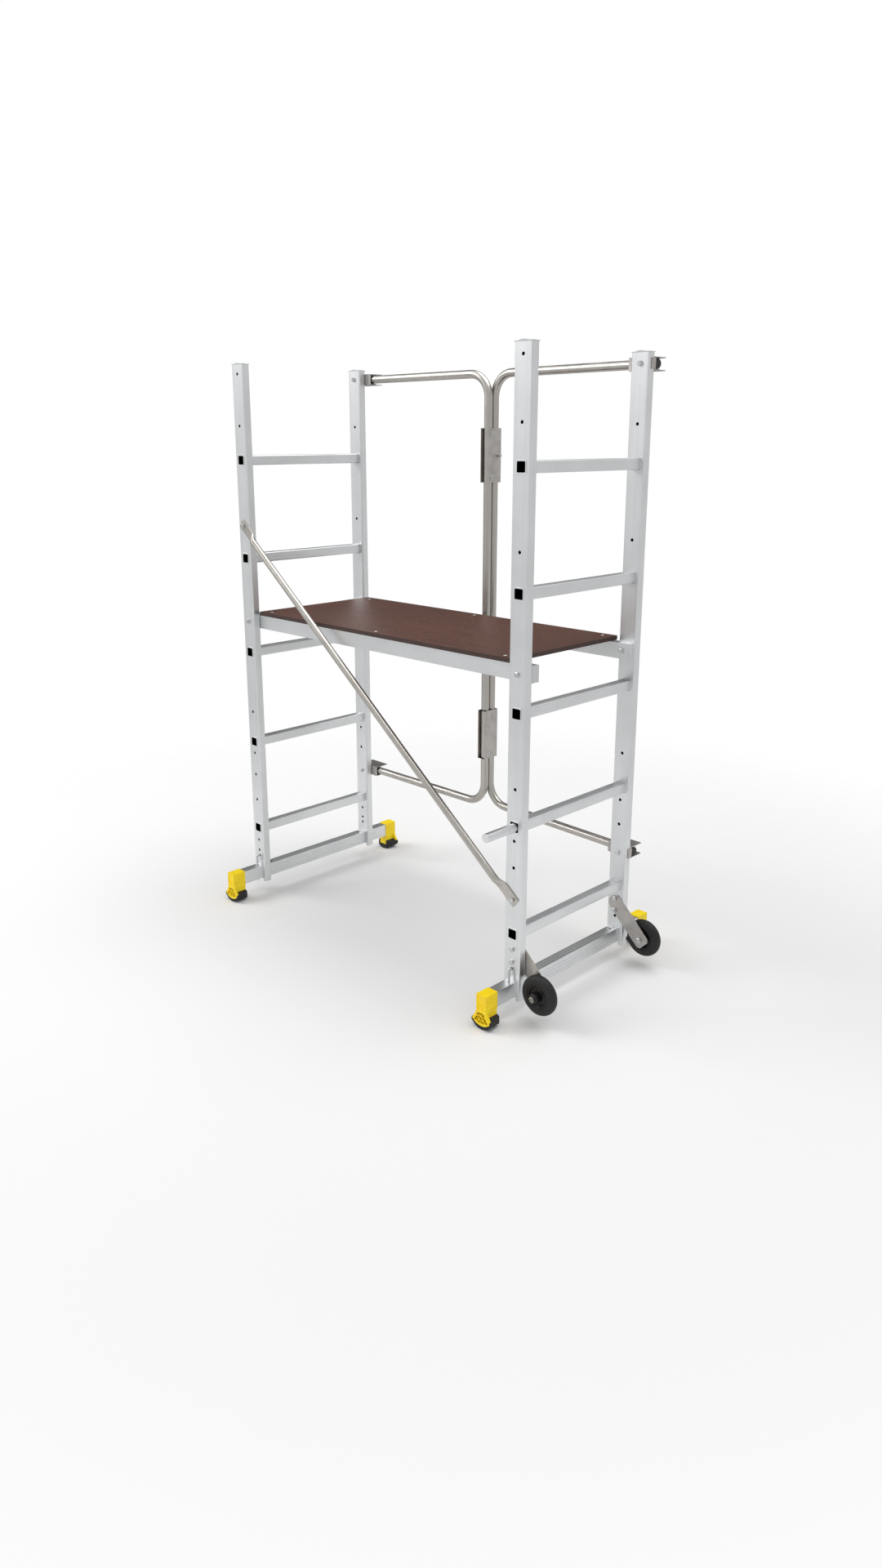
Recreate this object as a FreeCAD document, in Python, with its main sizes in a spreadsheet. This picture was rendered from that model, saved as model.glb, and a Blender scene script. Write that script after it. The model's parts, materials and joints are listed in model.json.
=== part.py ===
import FreeCAD, Part
import math
import os
import re
from types import SimpleNamespace

from FreeCAD import Placement, Rotation, Vector

# Baker scaffold: two aluminium ladder frames stand on crossbars with rubber-soled feet.
# A plywood platform on two rails, a diagonal brace at the front and a folding steel guard
# at the back join them. The right frame carries two wheels that meet the floor when the
# left frame is lifted.
#
# Frame: +Z up, X from ladder frame to ladder frame, Y from the front (brace) to the back
# (guard). The origin is on the floor, in the middle of the space that the scaffold takes up.

dimensions = {
    # ladder frames
    "frameSpacing": 1135,       # between the middles of the two ladder frames
    "frameDepth": 487,          # front face to back face of a ladder frame
    "stileWidth": 55,
    "stileThickness": 25,
    "stileWall": 2,
    "stileCorner": 4,
    "stileBottom": 42,          # height of the stile's lower end above the floor
    "stileTop": 1711,
    "rungSize": 30,
    "rungWall": 1.8,
    "rungCorner": 4,
    "rungPitch": 300,
    "lowestRung": 231,          # height of the lowest rung's middle
    "rungLip": 1.6,             # how far the flared end stands out round the rung
    "rungLipThickness": 1,
    "rungGrooveWidth": 2.4,
    "rungGrooveDepth": 0.8,
    "rungGroovePitch": 5,
    "capLip": 1,
    "capThickness": 2,
    "capRise": 3,
    # the line of holes, the same in every stile
    "holeRadius": 4.5,
    "holeGuardHigh": 1683.5,
    "holeSpareHigh": 1532.5,
    "holeBraceHigh": 1231.5,
    "holePlatform": 931,
    "holeSpareMiddle": 632.5,
    "holeSpareLow": 492.5,
    "holeSpareLower": 418.5,
    "holeGuardLow": 330.5,
    "holeWheelHigh": 187,
    "holeWheelLow": 150.5,
    "holePin": 131,
    # crossbars, their pins and the feet
    "crossbarWidth": 30,
    "crossbarHeight": 44,
    "crossbarWall": 2,
    "crossbarTop": 96.5,
    "crossbarReach": 116,       # how far a crossbar passes the stile's outer face
    "crossbarGroove": 0.8,
    "crossbarHoleRadius": 3.75,
    "crossbarInnerHole": 22,    # from the stile's inner face to the spare hole
    "slotClearance": 0.2,
    "pinRadius": 3.25,
    "pinBend": 9,
    "pinStandOff": 11,          # from the stile's outer face to the pin's upright
    "pinBelow": 9,              # how far the pin shows under the crossbar
    "pinInside": 12,
    "bootWall": 1.8,
    "bootEnd": 4,               # thickness of the boot's closed end
    "bootLength": 46,
    "collarInset": 1.6,         # how far the collar stands in from the sleeve
    "fanShoulder": 52,          # height where the boot's outer plate starts to spread
    "fanHalfWidth": 31,
    "fanEdge": 24,
    "fanBottom": 10,
    "fanThickness": 8,
    "fanPocketDepth": 5,
    "fanRib": 1.8,
    "soleHalfWidth": 34,
    "soleInnerHalf": 24,        # half width at the inner end
    "soleEdge": 27,
    "soleTop": 33,
    "soleToothPitch": 6.5,
    "soleToothDepth": 2,
    # platform
    "deckInset": 39.5,          # from the middle of a frame to the deck's end
    "deckThickness": 12,
    "deckOverhang": 9.5,        # past the rails' outer faces
    "railOverhang": 23.5,       # past the middle of a frame
    "railWidth": 27,
    "railHeight": 44,
    "railWall": 2,
    "railCapThickness": 3,
    "screwInset": 35,           # from the deck's end to the first screw
    "screwHeadRadius": 6,
    "screwHeadHeight": 1.8,     # sunk flush with the deck
    "screwRadius": 2.5,
    # brace
    "braceRadius": 10,
    "braceWall": 1.5,
    "braceFlatWidth": 31,
    "braceFlatThickness": 3.4,
    "braceFlatLength": 46,      # from the bolt to where the tube starts to open out
    "braceFlatEnd": 14,
    "braceTransition": 24,
    # guard
    "guardRadius": 12.5,
    "guardWall": 1.5,
    "guardBend": 70,
    "guardStandOff": 4.1,       # from the stiles' back faces to the clipped tubes
    "guardLegGap": 2.5,         # between the two upright legs
    "plugThickness": 3,
    "channelLength": 160,
    "channelWall": 2.5,
    "channelFront": 18,         # from the left leg's middle to the channel's open edge
    "channelClearance": 0.5,
    "channelHigh": 1446,
    "channelLow": 570,
    "rivetPitch": 128,
    "rivetRadius": 4,
    "rivetBore": 2,
    "rivetHeadRadius": 6.5,
    "rivetHeadHeight": 1,
    "lockRadius": 3,
    "lockHeadRadius": 4.5,
    "lockHeadLength": 7,
    "lockBushRadius": 5.5,
    "lockBushLength": 5,
    "bracketThickness": 2.5,
    "bracketInboard": 26,       # how far a bracket passes the stile on the inner side
    "bracketDepth": 53,
    "bracketTab": 15,
    "bracketTabHeight": 28,
    "clipWall": 2,
    "clipClearance": 0.3,
    "clipMouth": 10,            # how far the clip's arms pass the tube's middle
    # fasteners
    "boltRadius": 4,
    "headFlats": 13,
    "headHeight": 5.3,
    "nutHeight": 6.5,
    "threadClearance": 0.02,
    "boltTail": 1.5,            # thread that shows past a nut
    # wheels
    "wheelRadius": 55,
    "tyreWidth": 28,
    "tyreShoulder": 9,
    "rimRadius": 33,
    "rimRecessRadius": 27,
    "rimRecessDepth": 8,
    "hubRadius": 14,
    "hubOverhang": 14,          # how far the hub passes the tyre on the outer side
    "hubInset": 2,
    "wheelOffset": 92.5,        # from the middle of the frame to the axle
    "axleHeight": 85,
    "axleRadius": 6,
    "axleClearance": 0.06,
    "axleHeadFlats": 19,
    "axleHeadHeight": 7.5,
    "axleNutHeight": 10,
    "washerThickness": 2,
    "washerRadius": 12,
    "wheelPlateThickness": 3,
    "wheelPlateHalfWidth": 25,
    "wheelPlateAbove": 20,      # past the middle of its two bolts
    "wheelPlateBelow": 20,      # past the axle
    "wheelPlateRound": 22,
    "wheelPlateChamfer": 8,
    "endPlay": 0.3,
    # peg
    "pegRadius": 12,
    "pegWall": 1.5,
    "pegLength": 205,
    "pegOutside": 110,
    "pegRest": 0.3,             # gap under the peg in its rung
}
rungCount = 5
sides = {"left": -1, "right": 1}
ends = {"front": -1, "rear": 1}

doc = FreeCAD.newDocument("BakerScaffold")
sheet = doc.addObject("Spreadsheet::Sheet", "Dims")
for row, (alias, value) in enumerate(dimensions.items(), start=1):
    sheet.set("A%d" % row, alias)
    sheet.set("B%d" % row, str(value))
    sheet.setAlias("B%d" % row, alias)
doc.recompute()
dim = SimpleNamespace(**{alias: float(sheet.get(alias)) for alias in dimensions})

nodes = []

# places that several pieces share, as formulas of the sheet
middle = "((soleHalfWidth - wheelOffset - wheelRadius) / 2)"    # between the two frames
outerFace = "(frameDepth / 2)"                                  # of a stile, from the middle
innerFace = "(frameDepth / 2 - stileThickness)"
crossbarMiddle = "(crossbarTop - crossbarHeight / 2)"
deckLength = "(frameSpacing - 2 * deckInset)"
railLength = "(frameSpacing + 2 * railOverhang)"
railTop = "(holePlatform + railHeight / 2)"
legLine = "(frameDepth / 2 + guardStandOff + guardRadius)"      # Y of the left leg
foldLine = "(%s + 2 * guardRadius + guardLegGap)" % legLine     # Y of the right leg

# the same places as numbers, for the shapes that Part's own functions make
middleX = (dim.soleHalfWidth - dim.wheelOffset - dim.wheelRadius) / 2
outerY = dim.frameDepth / 2
innerY = outerY - dim.stileThickness
legY = outerY + dim.guardStandOff + dim.guardRadius
foldY = legY + 2 * dim.guardRadius + dim.guardLegGap


def frameX(side):
    return "(%s + %d * frameSpacing / 2)" % (middle, sides[side])


def frameXNumber(side):
    return middleX + sides[side] * dim.frameSpacing / 2


# ---- helpers -------------------------------------------------------------------------

def tie(formula):
    """The formula with each dimension's name pointing at its cell."""
    def cell(word):
        name = word.group()
        return "Dims." + name if name in dimensions else name
    return re.sub(r"[A-Za-z]\w*", cell, str(formula))


def place(item, x, y, z):
    for axis, formula in zip("xyz", (x, y, z)):
        item.setExpression("Placement.Base." + axis, tie(formula))


def box(name, size, centre):
    item = doc.addObject("Part::Box", name)
    for prop, formula in zip(("Length", "Width", "Height"), size):
        item.setExpression(prop, tie(formula))
    place(item, *["(%s) - (%s) / 2" % (c, s) for c, s in zip(centre, size)])
    return item


turns = {
    "x": Rotation(Vector(0, 1, 0), 90),
    "y": Rotation(Vector(-1, 0, 0), 90),
    "z": Rotation(),
}


def along(item, axis, length, centre):
    """Turns a primitive that grows along +Z to grow along an axis, about its centre."""
    item.Placement = Placement(Vector(), turns[axis])
    base = list(centre)
    index = "xyz".index(axis)
    base[index] = "(%s) - (%s) / 2" % (centre[index], length)
    place(item, *base)
    return item


def cylinder(name, radius, length, centre, axis="z"):
    item = doc.addObject("Part::Cylinder", name)
    item.setExpression("Radius", tie(radius))
    item.setExpression("Height", tie(length))
    return along(item, axis, length, centre)


def hexagon(name, flats, height, centre, axis="y"):
    item = doc.addObject("Part::Prism", name)
    item.Polygon = 6
    item.setExpression("Circumradius", tie("(%s) / sqrt(3)" % flats))
    item.setExpression("Height", tie(height))
    return along(item, axis, height, centre)


def cut(name, base, tools):
    tool = tools[0]
    if len(tools) > 1:
        tool = doc.addObject("Part::MultiFuse", name + "Tools")
        tool.Shapes = tools
    item = doc.addObject("Part::Cut", name)
    item.Base = base
    item.Tool = tool
    return item


def fuse(name, pieces):
    item = doc.addObject("Part::MultiFuse", name)
    item.Shapes = pieces
    return item


def rounded(name, base, radius, axis):
    """Rounds the base's straight edges that run along an axis."""
    doc.recompute()
    direction = {"x": Vector(1, 0, 0), "y": Vector(0, 1, 0), "z": Vector(0, 0, 1)}[axis]
    picked = []
    for number, edge in enumerate(base.Shape.Edges, start=1):
        if edge.Curve.TypeId == "Part::GeomLine":
            if abs(abs(edge.Curve.Direction.dot(direction)) - 1) < 1e-6:
                picked.append((number, radius, radius))
    item = doc.addObject("Part::Fillet", name)
    item.Base = base
    item.Edges = picked
    return item


def node(name, item):
    item.Label = name
    nodes.append(item)
    return item


def group(name, pieces):
    item = doc.addObject("Part::Compound", name.title().replace("_", "") + "Group")
    item.Links = pieces
    return node(name, item)


def feature(name, shape, placement=None):
    item = doc.addObject("Part::Feature", name.title().replace("_", "") + "Shape")
    item.Shape = shape
    if placement:
        item.Placement = placement
    return item


def bentWire(points, radius):
    """Straight runs through the points, joined by tangent arcs."""
    edges = []
    start = points[0]
    for before, corner, after in zip(points, points[1:], points[2:]):
        back = (before - corner).normalize()
        on = (after - corner).normalize()
        half = back.getAngle(on) / 2
        reach = radius / math.tan(half)
        bisector = (back + on).normalize()
        first = corner + back * reach
        last = corner + on * reach
        top = corner + bisector * (radius / math.sin(half) - radius)
        edges.append(Part.LineSegment(start, first).toShape())
        edges.append(Part.Arc(first, top, last).toShape())
        start = last
    edges.append(Part.LineSegment(start, points[-1]).toShape())
    return Part.Wire(edges)


def rod(points, radius, bend):
    wire = bentWire(points, bend)
    direction = points[1] - points[0]
    profile = Part.Wire(Part.makeCircle(radius, points[0], direction))
    return wire.makePipeShell([profile], True, False)


def bolt(name, flats, headHeight, radius, length, headFace, side, x, z):
    """A hexagon bolt along Y. headFace is where the head bears, side is where the head
    stands: -1 in front of that face, 1 behind it."""
    head = hexagon(name + "Head", flats, headHeight,
                   (x, "(%s) + (%d) * (%s) / 2" % (headFace, side, headHeight), z))
    shank = cylinder(name + "Shank", radius, length,
                     (x, "(%s) - (%d) * (%s) / 2" % (headFace, side, length), z), "y")
    return fuse(name, [head, shank])


def nut(name, flats, height, radius, face, side, x, z):
    """A hexagon nut that bears on a face and stands on the given side of it."""
    centre = (x, "(%s) + (%d) * (%s) / 2" % (face, side, height), z)
    body = hexagon(name + "Blank", flats, height, centre)
    bore = cylinder(name + "Bore", "(%s) + threadClearance" % radius, "2 * (%s)" % height,
                    centre, "y")
    return cut(name, body, [bore])


# ---- sketch helpers ------------------------------------------------------------------

def newBody(name):
    body = doc.addObject("PartDesign::Body", name)
    doc.recompute()
    return body


def newSketch(body, name, plane):
    sketch = body.newObject("Sketcher::SketchObject", name)
    origin = [f for f in body.Origin.OriginFeatures if f.Role == plane][0]
    sketch.AttachmentSupport = [(origin, "")]
    sketch.MapMode = "FlatFace"
    return sketch


def measure(sketch, kind, *where):
    """A dimension of the sketch that follows the sheet; the last value is its formula."""
    import Sketcher
    *points, start, formula = where
    index = sketch.addConstraint(Sketcher.Constraint(kind, *points, start))
    sketch.setExpression("Constraints[%d]" % index, tie(formula))


def sketchRectangle(sketch, width, height, across, up, numbers):
    """A rectangle about (across, up). numbers are the four sizes as plain values."""
    import Sketcher
    w, t, cx, cy = numbers
    left, right, low, high = cx - w / 2, cx + w / 2, cy - t / 2, cy + t / 2
    corners = [Vector(left, low), Vector(right, low), Vector(right, high), Vector(left, high)]
    first = sketch.GeometryCount
    for number in range(4):
        sketch.addGeometry(Part.LineSegment(corners[number], corners[(number + 1) % 4]))
    for number in range(4):
        following = first + (number + 1) % 4
        sketch.addConstraint(Sketcher.Constraint("Coincident", first + number, 2, following, 1))
    for number, way in enumerate(("Horizontal", "Vertical", "Horizontal", "Vertical")):
        sketch.addConstraint(Sketcher.Constraint(way, first + number))
    measure(sketch, "DistanceX", first, 1, first, 2, w, width)
    measure(sketch, "DistanceY", first + 1, 1, first + 1, 2, t, height)
    measure(sketch, "DistanceX", -1, 1, first, 1, left, "(%s) - (%s) / 2" % (across, width))
    measure(sketch, "DistanceY", -1, 1, first, 1, low, "(%s) - (%s) / 2" % (up, height))


def sketchCircle(sketch, radius, across, up, numbers):
    import Sketcher
    r, cx, cy = numbers
    first = sketch.addGeometry(Part.Circle(Vector(cx, cy), Vector(0, 0, 1), r))
    measure(sketch, "Radius", first, r, radius)
    if cx == 0:
        sketch.addConstraint(Sketcher.Constraint("PointOnObject", first, 3, -2))
    else:
        measure(sketch, "DistanceX", -1, 1, first, 3, cx, across)
    measure(sketch, "DistanceY", -1, 1, first, 3, cy, up)


def pad(body, sketch, name, length):
    item = body.newObject("PartDesign::Pad", name)
    item.Profile = sketch
    item.setExpression("Length", tie(length))
    doc.recompute()
    return item


def throughPocket(body, sketch, name):
    volume = body.Shape.Volume
    item = body.newObject("PartDesign::Pocket", name)
    item.Profile = sketch
    item.Type = "ThroughAll"
    item.SideType = "Symmetric"
    doc.recompute()
    assert item.Shape.Volume < volume, name + " removes nothing"
    return item


# ---- ladder frames -------------------------------------------------------------------

stileHoles = [alias for alias in dimensions if alias.startswith("hole") and alias != "holeRadius"]


def makeStile(side, end):
    name = "Stile" + side.title() + end.title()
    body = newBody(name)
    profile = newSketch(body, name + "Profile", "XY_Plane")
    wide, thick, wall = dim.stileWidth, dim.stileThickness, dim.stileWall
    sketchRectangle(profile, "stileWidth", "stileThickness", "0", "0", (wide, thick, 0, 0))
    sketchRectangle(profile, "stileWidth - 2 * stileWall", "stileThickness - 2 * stileWall",
                    "0", "0", (wide - 2 * wall, thick - 2 * wall, 0, 0))
    tube = pad(body, profile, name + "Tube", "stileTop - stileBottom")

    corners = []
    for number, edge in enumerate(tube.Shape.Edges, start=1):
        point = edge.CenterOfMass
        outer = abs(abs(point.x) - wide / 2) < 1e-3 and abs(abs(point.y) - thick / 2) < 1e-3
        if outer:
            corners.append("Edge%d" % number)
    fillet = body.newObject("PartDesign::Fillet", name + "Corners")
    fillet.Base = (tube, corners)
    fillet.setExpression("Radius", tie("stileCorner"))
    doc.recompute()

    holes = newSketch(body, name + "Holes", "XZ_Plane")
    for alias in stileHoles:
        height = getattr(dim, alias) - dim.stileBottom
        sketchCircle(holes, "holeRadius", "0", alias + " - stileBottom",
                     (dim.holeRadius, 0, height))
    throughPocket(body, holes, name + "HolePocket")

    windows = newSketch(body, name + "Windows", "XZ_Plane")
    for number in range(rungCount):
        up = dim.lowestRung + number * dim.rungPitch - dim.stileBottom
        sketchRectangle(windows, "rungSize", "rungSize", "0",
                        "lowestRung + %d * rungPitch - stileBottom" % number,
                        (dim.rungSize, dim.rungSize, 0, up))
    slotWidth = dim.crossbarWidth + 2 * dim.slotClearance
    slotTop = dim.crossbarTop + dim.slotClearance - dim.stileBottom
    slotHeight = 2 * slotTop
    sketchRectangle(windows, "crossbarWidth + 2 * slotClearance",
                    "2 * (crossbarTop + slotClearance - stileBottom)", "0", "0",
                    (slotWidth, slotHeight, 0, 0))
    throughPocket(body, windows, name + "WindowPocket")
    place(body, frameX(side), "%d * (frameDepth - stileThickness) / 2" % ends[end],
          "stileBottom")
    return node("stile_%s_%s" % (side, end), body)


def makeRung(side, number):
    """A square tube through both stiles, ribbed on top, flared over the stiles' faces."""
    name = "Rung%s%d" % (side.title(), number + 1)
    x = frameX(side)
    z = "(lowestRung + %d * rungPitch)" % number
    tube = box(name + "Blank", ("rungSize", "frameDepth", "rungSize"), (x, "0", z))
    pieces = [rounded(name + "Tube", tube, dim.rungCorner, "y")]
    for end, sign in ends.items():
        y = "%d * (frameDepth + rungLipThickness) / 2" % sign
        wide = "(rungSize + 2 * rungLip)"
        lip = box(name + "Flare" + end.title(), (wide, "rungLipThickness", wide), (x, y, z))
        pieces.append(rounded(name + "Lip" + end.title(), lip, dim.rungCorner, "y"))
    inside = "(rungSize - 2 * rungWall)"
    bore = box(name + "Bore", (inside, "frameDepth + 4 * rungLipThickness", inside),
               (x, "0", z))
    hollows = [rounded(name + "Hollow", bore, dim.rungCorner - dim.rungWall / 2, "y")]
    for place_ in range(-2, 3):
        hollows.append(box(name + "Groove%d" % (place_ + 3),
                           ("rungGrooveWidth", "frameDepth - 2 * stileThickness - 2",
                            "2 * rungGrooveDepth"),
                           ("%s + (%d) * rungGroovePitch" % (x, place_), "0",
                            "%s + rungSize / 2" % z)))
    return node("rung_%s_%d" % (side, number + 1), cut(name, fuse(name + "Solid", pieces), hollows))


def makeCap(side, end):
    """A thin plastic cap with a lip and a gently domed top."""
    name = "Cap" + side.title() + end.title()
    x = frameX(side)
    y = "%d * (frameDepth - stileThickness) / 2" % ends[end]
    wide = "(stileWidth + 2 * capLip)"
    thick = "(stileThickness + 2 * capLip)"
    plate = box(name + "Plate", (wide, thick, "capThickness"), (x, y, "stileTop + capThickness / 2"))
    chord = "(stileWidth * 0.6)"
    domeRadius = "(%s * %s / (8 * capRise) + capRise / 2)" % (chord, chord)
    dome = cylinder(name + "Round", domeRadius, thick,
                    (x, y, "stileTop + capThickness + capRise - %s" % domeRadius), "y")
    above = box(name + "Above", (chord, thick, "2 * capRise"),
                (x, y, "stileTop + capThickness + capRise"))
    top = doc.addObject("Part::Common", name + "Dome")
    top.Base = dome
    top.Tool = above
    plug = box(name + "Plug", ("stileWidth - 2 * stileWall - 0.2",
                               "stileThickness - 2 * stileWall - 0.2", "8"),
               (x, y, "stileTop - 4"))
    return fuse(name, [plate, top, plug])


# ---- crossbars and feet --------------------------------------------------------------

def makeCrossbar(side):
    """A ribbed tube that runs through both stiles of a frame from foot to foot."""
    name = "Crossbar" + side.title()
    x = frameX(side)
    z = crossbarMiddle
    length = "(frameDepth + 2 * crossbarReach)"
    outside = box(name + "Outside", ("crossbarWidth", length, "crossbarHeight"), (x, "0", z))
    tools = [box(name + "Inside", ("crossbarWidth - 2 * crossbarWall", length + " + 2",
                                   "crossbarHeight - 2 * crossbarWall"), (x, "0", z))]
    grooveLength = "(frameDepth - 2 * stileThickness - 2)"
    for sign in (-1, 1):
        for step in (-1, 0, 1):
            tools.append(box("%sRib%d%d" % (name, sign + 1, step + 1),
                             ("2 * crossbarGroove", grooveLength, "3"),
                             ("%s + (%d) * crossbarWidth / 2" % (x, sign), "0",
                              "%s + (%d) * 10" % (z, step))))
    for step in (-1, 0, 1):
        tools.append(box("%sTopRib%d" % (name, step + 1), ("2.4", grooveLength, "2 * crossbarGroove"),
                         ("%s + (%d) * 7" % (x, step), "0", "crossbarTop")))
    for sign in (-1, 1):
        for which, y in (("Pin", "(%s + pinStandOff)" % outerFace),
                         ("Spare", "(%s - crossbarInnerHole)" % innerFace)):
            tools.append(cylinder("%s%sHole%d" % (name, which, sign + 1), "crossbarHoleRadius",
                                  "crossbarHeight + 4", (x, "%d * %s" % (sign, y), z)))
    return node("crossbar_" + side, cut(name, outside, tools))


def pinShape(side, end):
    """A bent rod that stands in the crossbar and turns into the stile's pin hole."""
    x = frameXNumber(side)
    sign = ends[end]
    y = sign * (outerY + dim.pinStandOff)
    foot = Vector(x, y, dim.crossbarTop - dim.crossbarHeight - dim.pinBelow)
    corner = Vector(x, y, dim.holePin)
    tip = Vector(x, sign * (outerY - dim.pinInside), dim.holePin)
    return rod([foot, corner, tip], dim.pinRadius, dim.pinBend - dim.pinRadius)


def footOutline(half, shoulder, spread, edge, bottom, top):
    """The foot seen from the front: an upright column that spreads to a rounded base."""
    arc = Part.Arc(Vector(-spread, 0, edge), Vector(0, 0, bottom), Vector(spread, 0, edge))
    points = [Vector(spread, 0, edge), Vector(half, 0, shoulder), Vector(half, 0, top),
              Vector(-half, 0, top), Vector(-half, 0, shoulder), Vector(-spread, 0, edge)]
    lines = [Part.LineSegment(a, b).toShape() for a, b in zip(points, points[1:])]
    return Part.Wire([arc.toShape()] + lines)


def upright(half, depth, low, high, outer):
    """A block of the foot, symmetric about its middle, from the given outer end inwards."""
    return Part.makeBox(2 * half, depth, high - low, Vector(-half, outer, low))


def bootBlocks():
    """The boot's outside: a sleeve round the crossbar, a narrower collar under it and the
    spread plate on its outer end. X across, -Y outwards, Y = 0 at its inner end."""
    half = dim.crossbarWidth / 2 + dim.bootWall
    top = dim.crossbarTop + dim.bootWall
    outer = -dim.bootLength
    collar = half - dim.collarInset
    wire = footOutline(collar, dim.fanShoulder, dim.fanHalfWidth, dim.fanEdge, dim.fanBottom, top)
    plate = Part.Face(wire).extrude(Vector(0, dim.fanThickness, 0))
    plate.translate(Vector(0, outer, 0))
    sleeve = upright(half, dim.bootLength, dim.fanShoulder - 2, top, outer)
    neck = upright(collar, dim.bootLength, dim.fanBottom + 8, dim.fanShoulder, outer)
    return sleeve.fuse([neck, plate])


def trussPockets():
    """Triangles pressed into the spread plate, alternately upright and upside down, with
    thin ribs left between them."""
    outer = -dim.bootLength
    low, high = dim.fanBottom + 6, dim.fanShoulder - 4
    rows = 3
    step = (high - low) / rows
    pockets = []
    for row in range(rows):
        z = low + (row + 0.5) * step
        count = 7 - 2 * row
        reach = dim.fanHalfWidth - 4.5 - row * 4.6
        pitch = 2 * reach / (count + 1)
        for number in range(count):
            x = -reach + (number + 1) * pitch
            point = 1 if number % 2 == 0 else -1
            height = (step - dim.fanRib) / 2
            wide = pitch - dim.fanRib
            lift = 0.009 * x * x if row == 0 else 0
            corners = [Vector(x - wide, outer, z + lift - point * height),
                       Vector(x + wide, outer, z + lift - point * height),
                       Vector(x, outer, z + lift + point * height)]
            face = Part.Face(Part.makePolygon(corners + corners[:1]))
            pockets.append(face.extrude(Vector(0, dim.fanPocketDepth, 0)))
    return pockets


def bootShape():
    """A plastic boot over the crossbar's end, in its own frame."""
    half = dim.crossbarWidth / 2 + dim.bootWall
    top = dim.crossbarTop + dim.bootWall
    outer = -dim.bootLength
    gap = dim.slotClearance / 2
    tall = dim.crossbarHeight + 2 * gap
    depth = dim.bootLength - dim.bootEnd
    tools = [upright(dim.crossbarWidth / 2 + gap, depth + 1, dim.crossbarTop + gap - tall,
                     dim.crossbarTop + gap, outer + dim.bootEnd)]
    tools += trussPockets()
    # the framed panel in the end face, with two bars across it
    panel = upright(half - 4, 1.4, dim.fanShoulder + 4, top - 4, outer)
    bars = [upright(half - 4, 1.4, z, z + 1.6, outer)
            for z in (dim.fanShoulder + 9, dim.fanShoulder + 17)]
    tools.append(panel.cut(bars))
    # the grooves round both sides
    for sign in (-1, 1):
        for number in range(4):
            tools.append(Part.makeBox(1.6, dim.bootLength, 1.8,
                                      Vector(sign * half - 0.8, outer + 3,
                                             dim.fanShoulder + 6 + 10 * number)))
    return bootBlocks().cut(tools)


def soleShape():
    """A rubber sole round the boot's lower part, wider at its outer end and toothed
    underneath, in the boot's own frame."""
    edge = dim.soleEdge - 7
    wide, collar = dim.soleHalfWidth, dim.crossbarWidth / 2 + dim.bootWall - dim.collarInset
    points = [Vector(wide, 0, edge), Vector(wide - 2, 0, dim.soleEdge),
              Vector(collar, 0, dim.soleTop), Vector(-collar, 0, dim.soleTop),
              Vector(-wide + 2, 0, dim.soleEdge), Vector(-wide, 0, edge)]
    lines = [Part.LineSegment(a, b).toShape() for a, b in zip(points, points[1:])]
    arc = Part.Arc(points[-1], Vector(), points[0]).toShape()
    solid = Part.Face(Part.Wire([arc] + lines)).extrude(Vector(0, -dim.bootLength, 0))
    plan = [Vector(-wide, -dim.bootLength, 0), Vector(wide, -dim.bootLength, 0),
            Vector(dim.soleInnerHalf, 0, 0), Vector(-dim.soleInnerHalf, 0, 0)]
    taper = Part.Face(Part.makePolygon(plan + plan[:1])).extrude(Vector(0, 0, dim.soleTop))
    radius = (wide ** 2 + edge ** 2) / (2 * edge)
    tools = [bootBlocks()]
    count = int(wide / dim.soleToothPitch)
    for number in range(-count, count + 1):
        angle = (number + 0.5) * dim.soleToothPitch / radius
        if abs(angle * radius) < wide - 1:
            slot = Part.makeBox(2.4, dim.bootLength + 2, 2 * dim.soleToothDepth,
                                Vector(-1.2, -dim.bootLength - 1, -dim.soleToothDepth))
            slot.translate(Vector(0, 0, -radius))
            slot.rotate(Vector(), Vector(0, 1, 0), -math.degrees(angle))
            slot.translate(Vector(0, 0, radius))
            tools.append(slot)
    return solid.common(taper).cut(tools)


def makeFoot(side, end):
    """The boot and the sole of one foot. The rear feet are the front ones turned round."""
    sign = ends[end]
    inner = outerY + dim.crossbarReach + dim.bootEnd - dim.bootLength
    turn = Rotation(Vector(0, 0, 1), 0 if sign < 0 else 180)
    spot = Placement(Vector(frameXNumber(side), sign * inner, 0), turn)
    where = "_%s_%s" % (side, end)
    node("foot_boot" + where, feature("foot_boot" + where, bootShape(), spot))
    node("foot_sole" + where, feature("foot_sole" + where, soleShape(), spot))


# ---- platform ------------------------------------------------------------------------

screwPlaces = [(across, end) for across in (-1, 0, 1) for end in ends]


def screwX(across):
    return "(%s + (%d) * (%s / 2 - screwInset))" % (middle, across, deckLength)


def screwY(end):
    return "(%d * (%s - railWidth / 2))" % (ends[end], innerFace)


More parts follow.
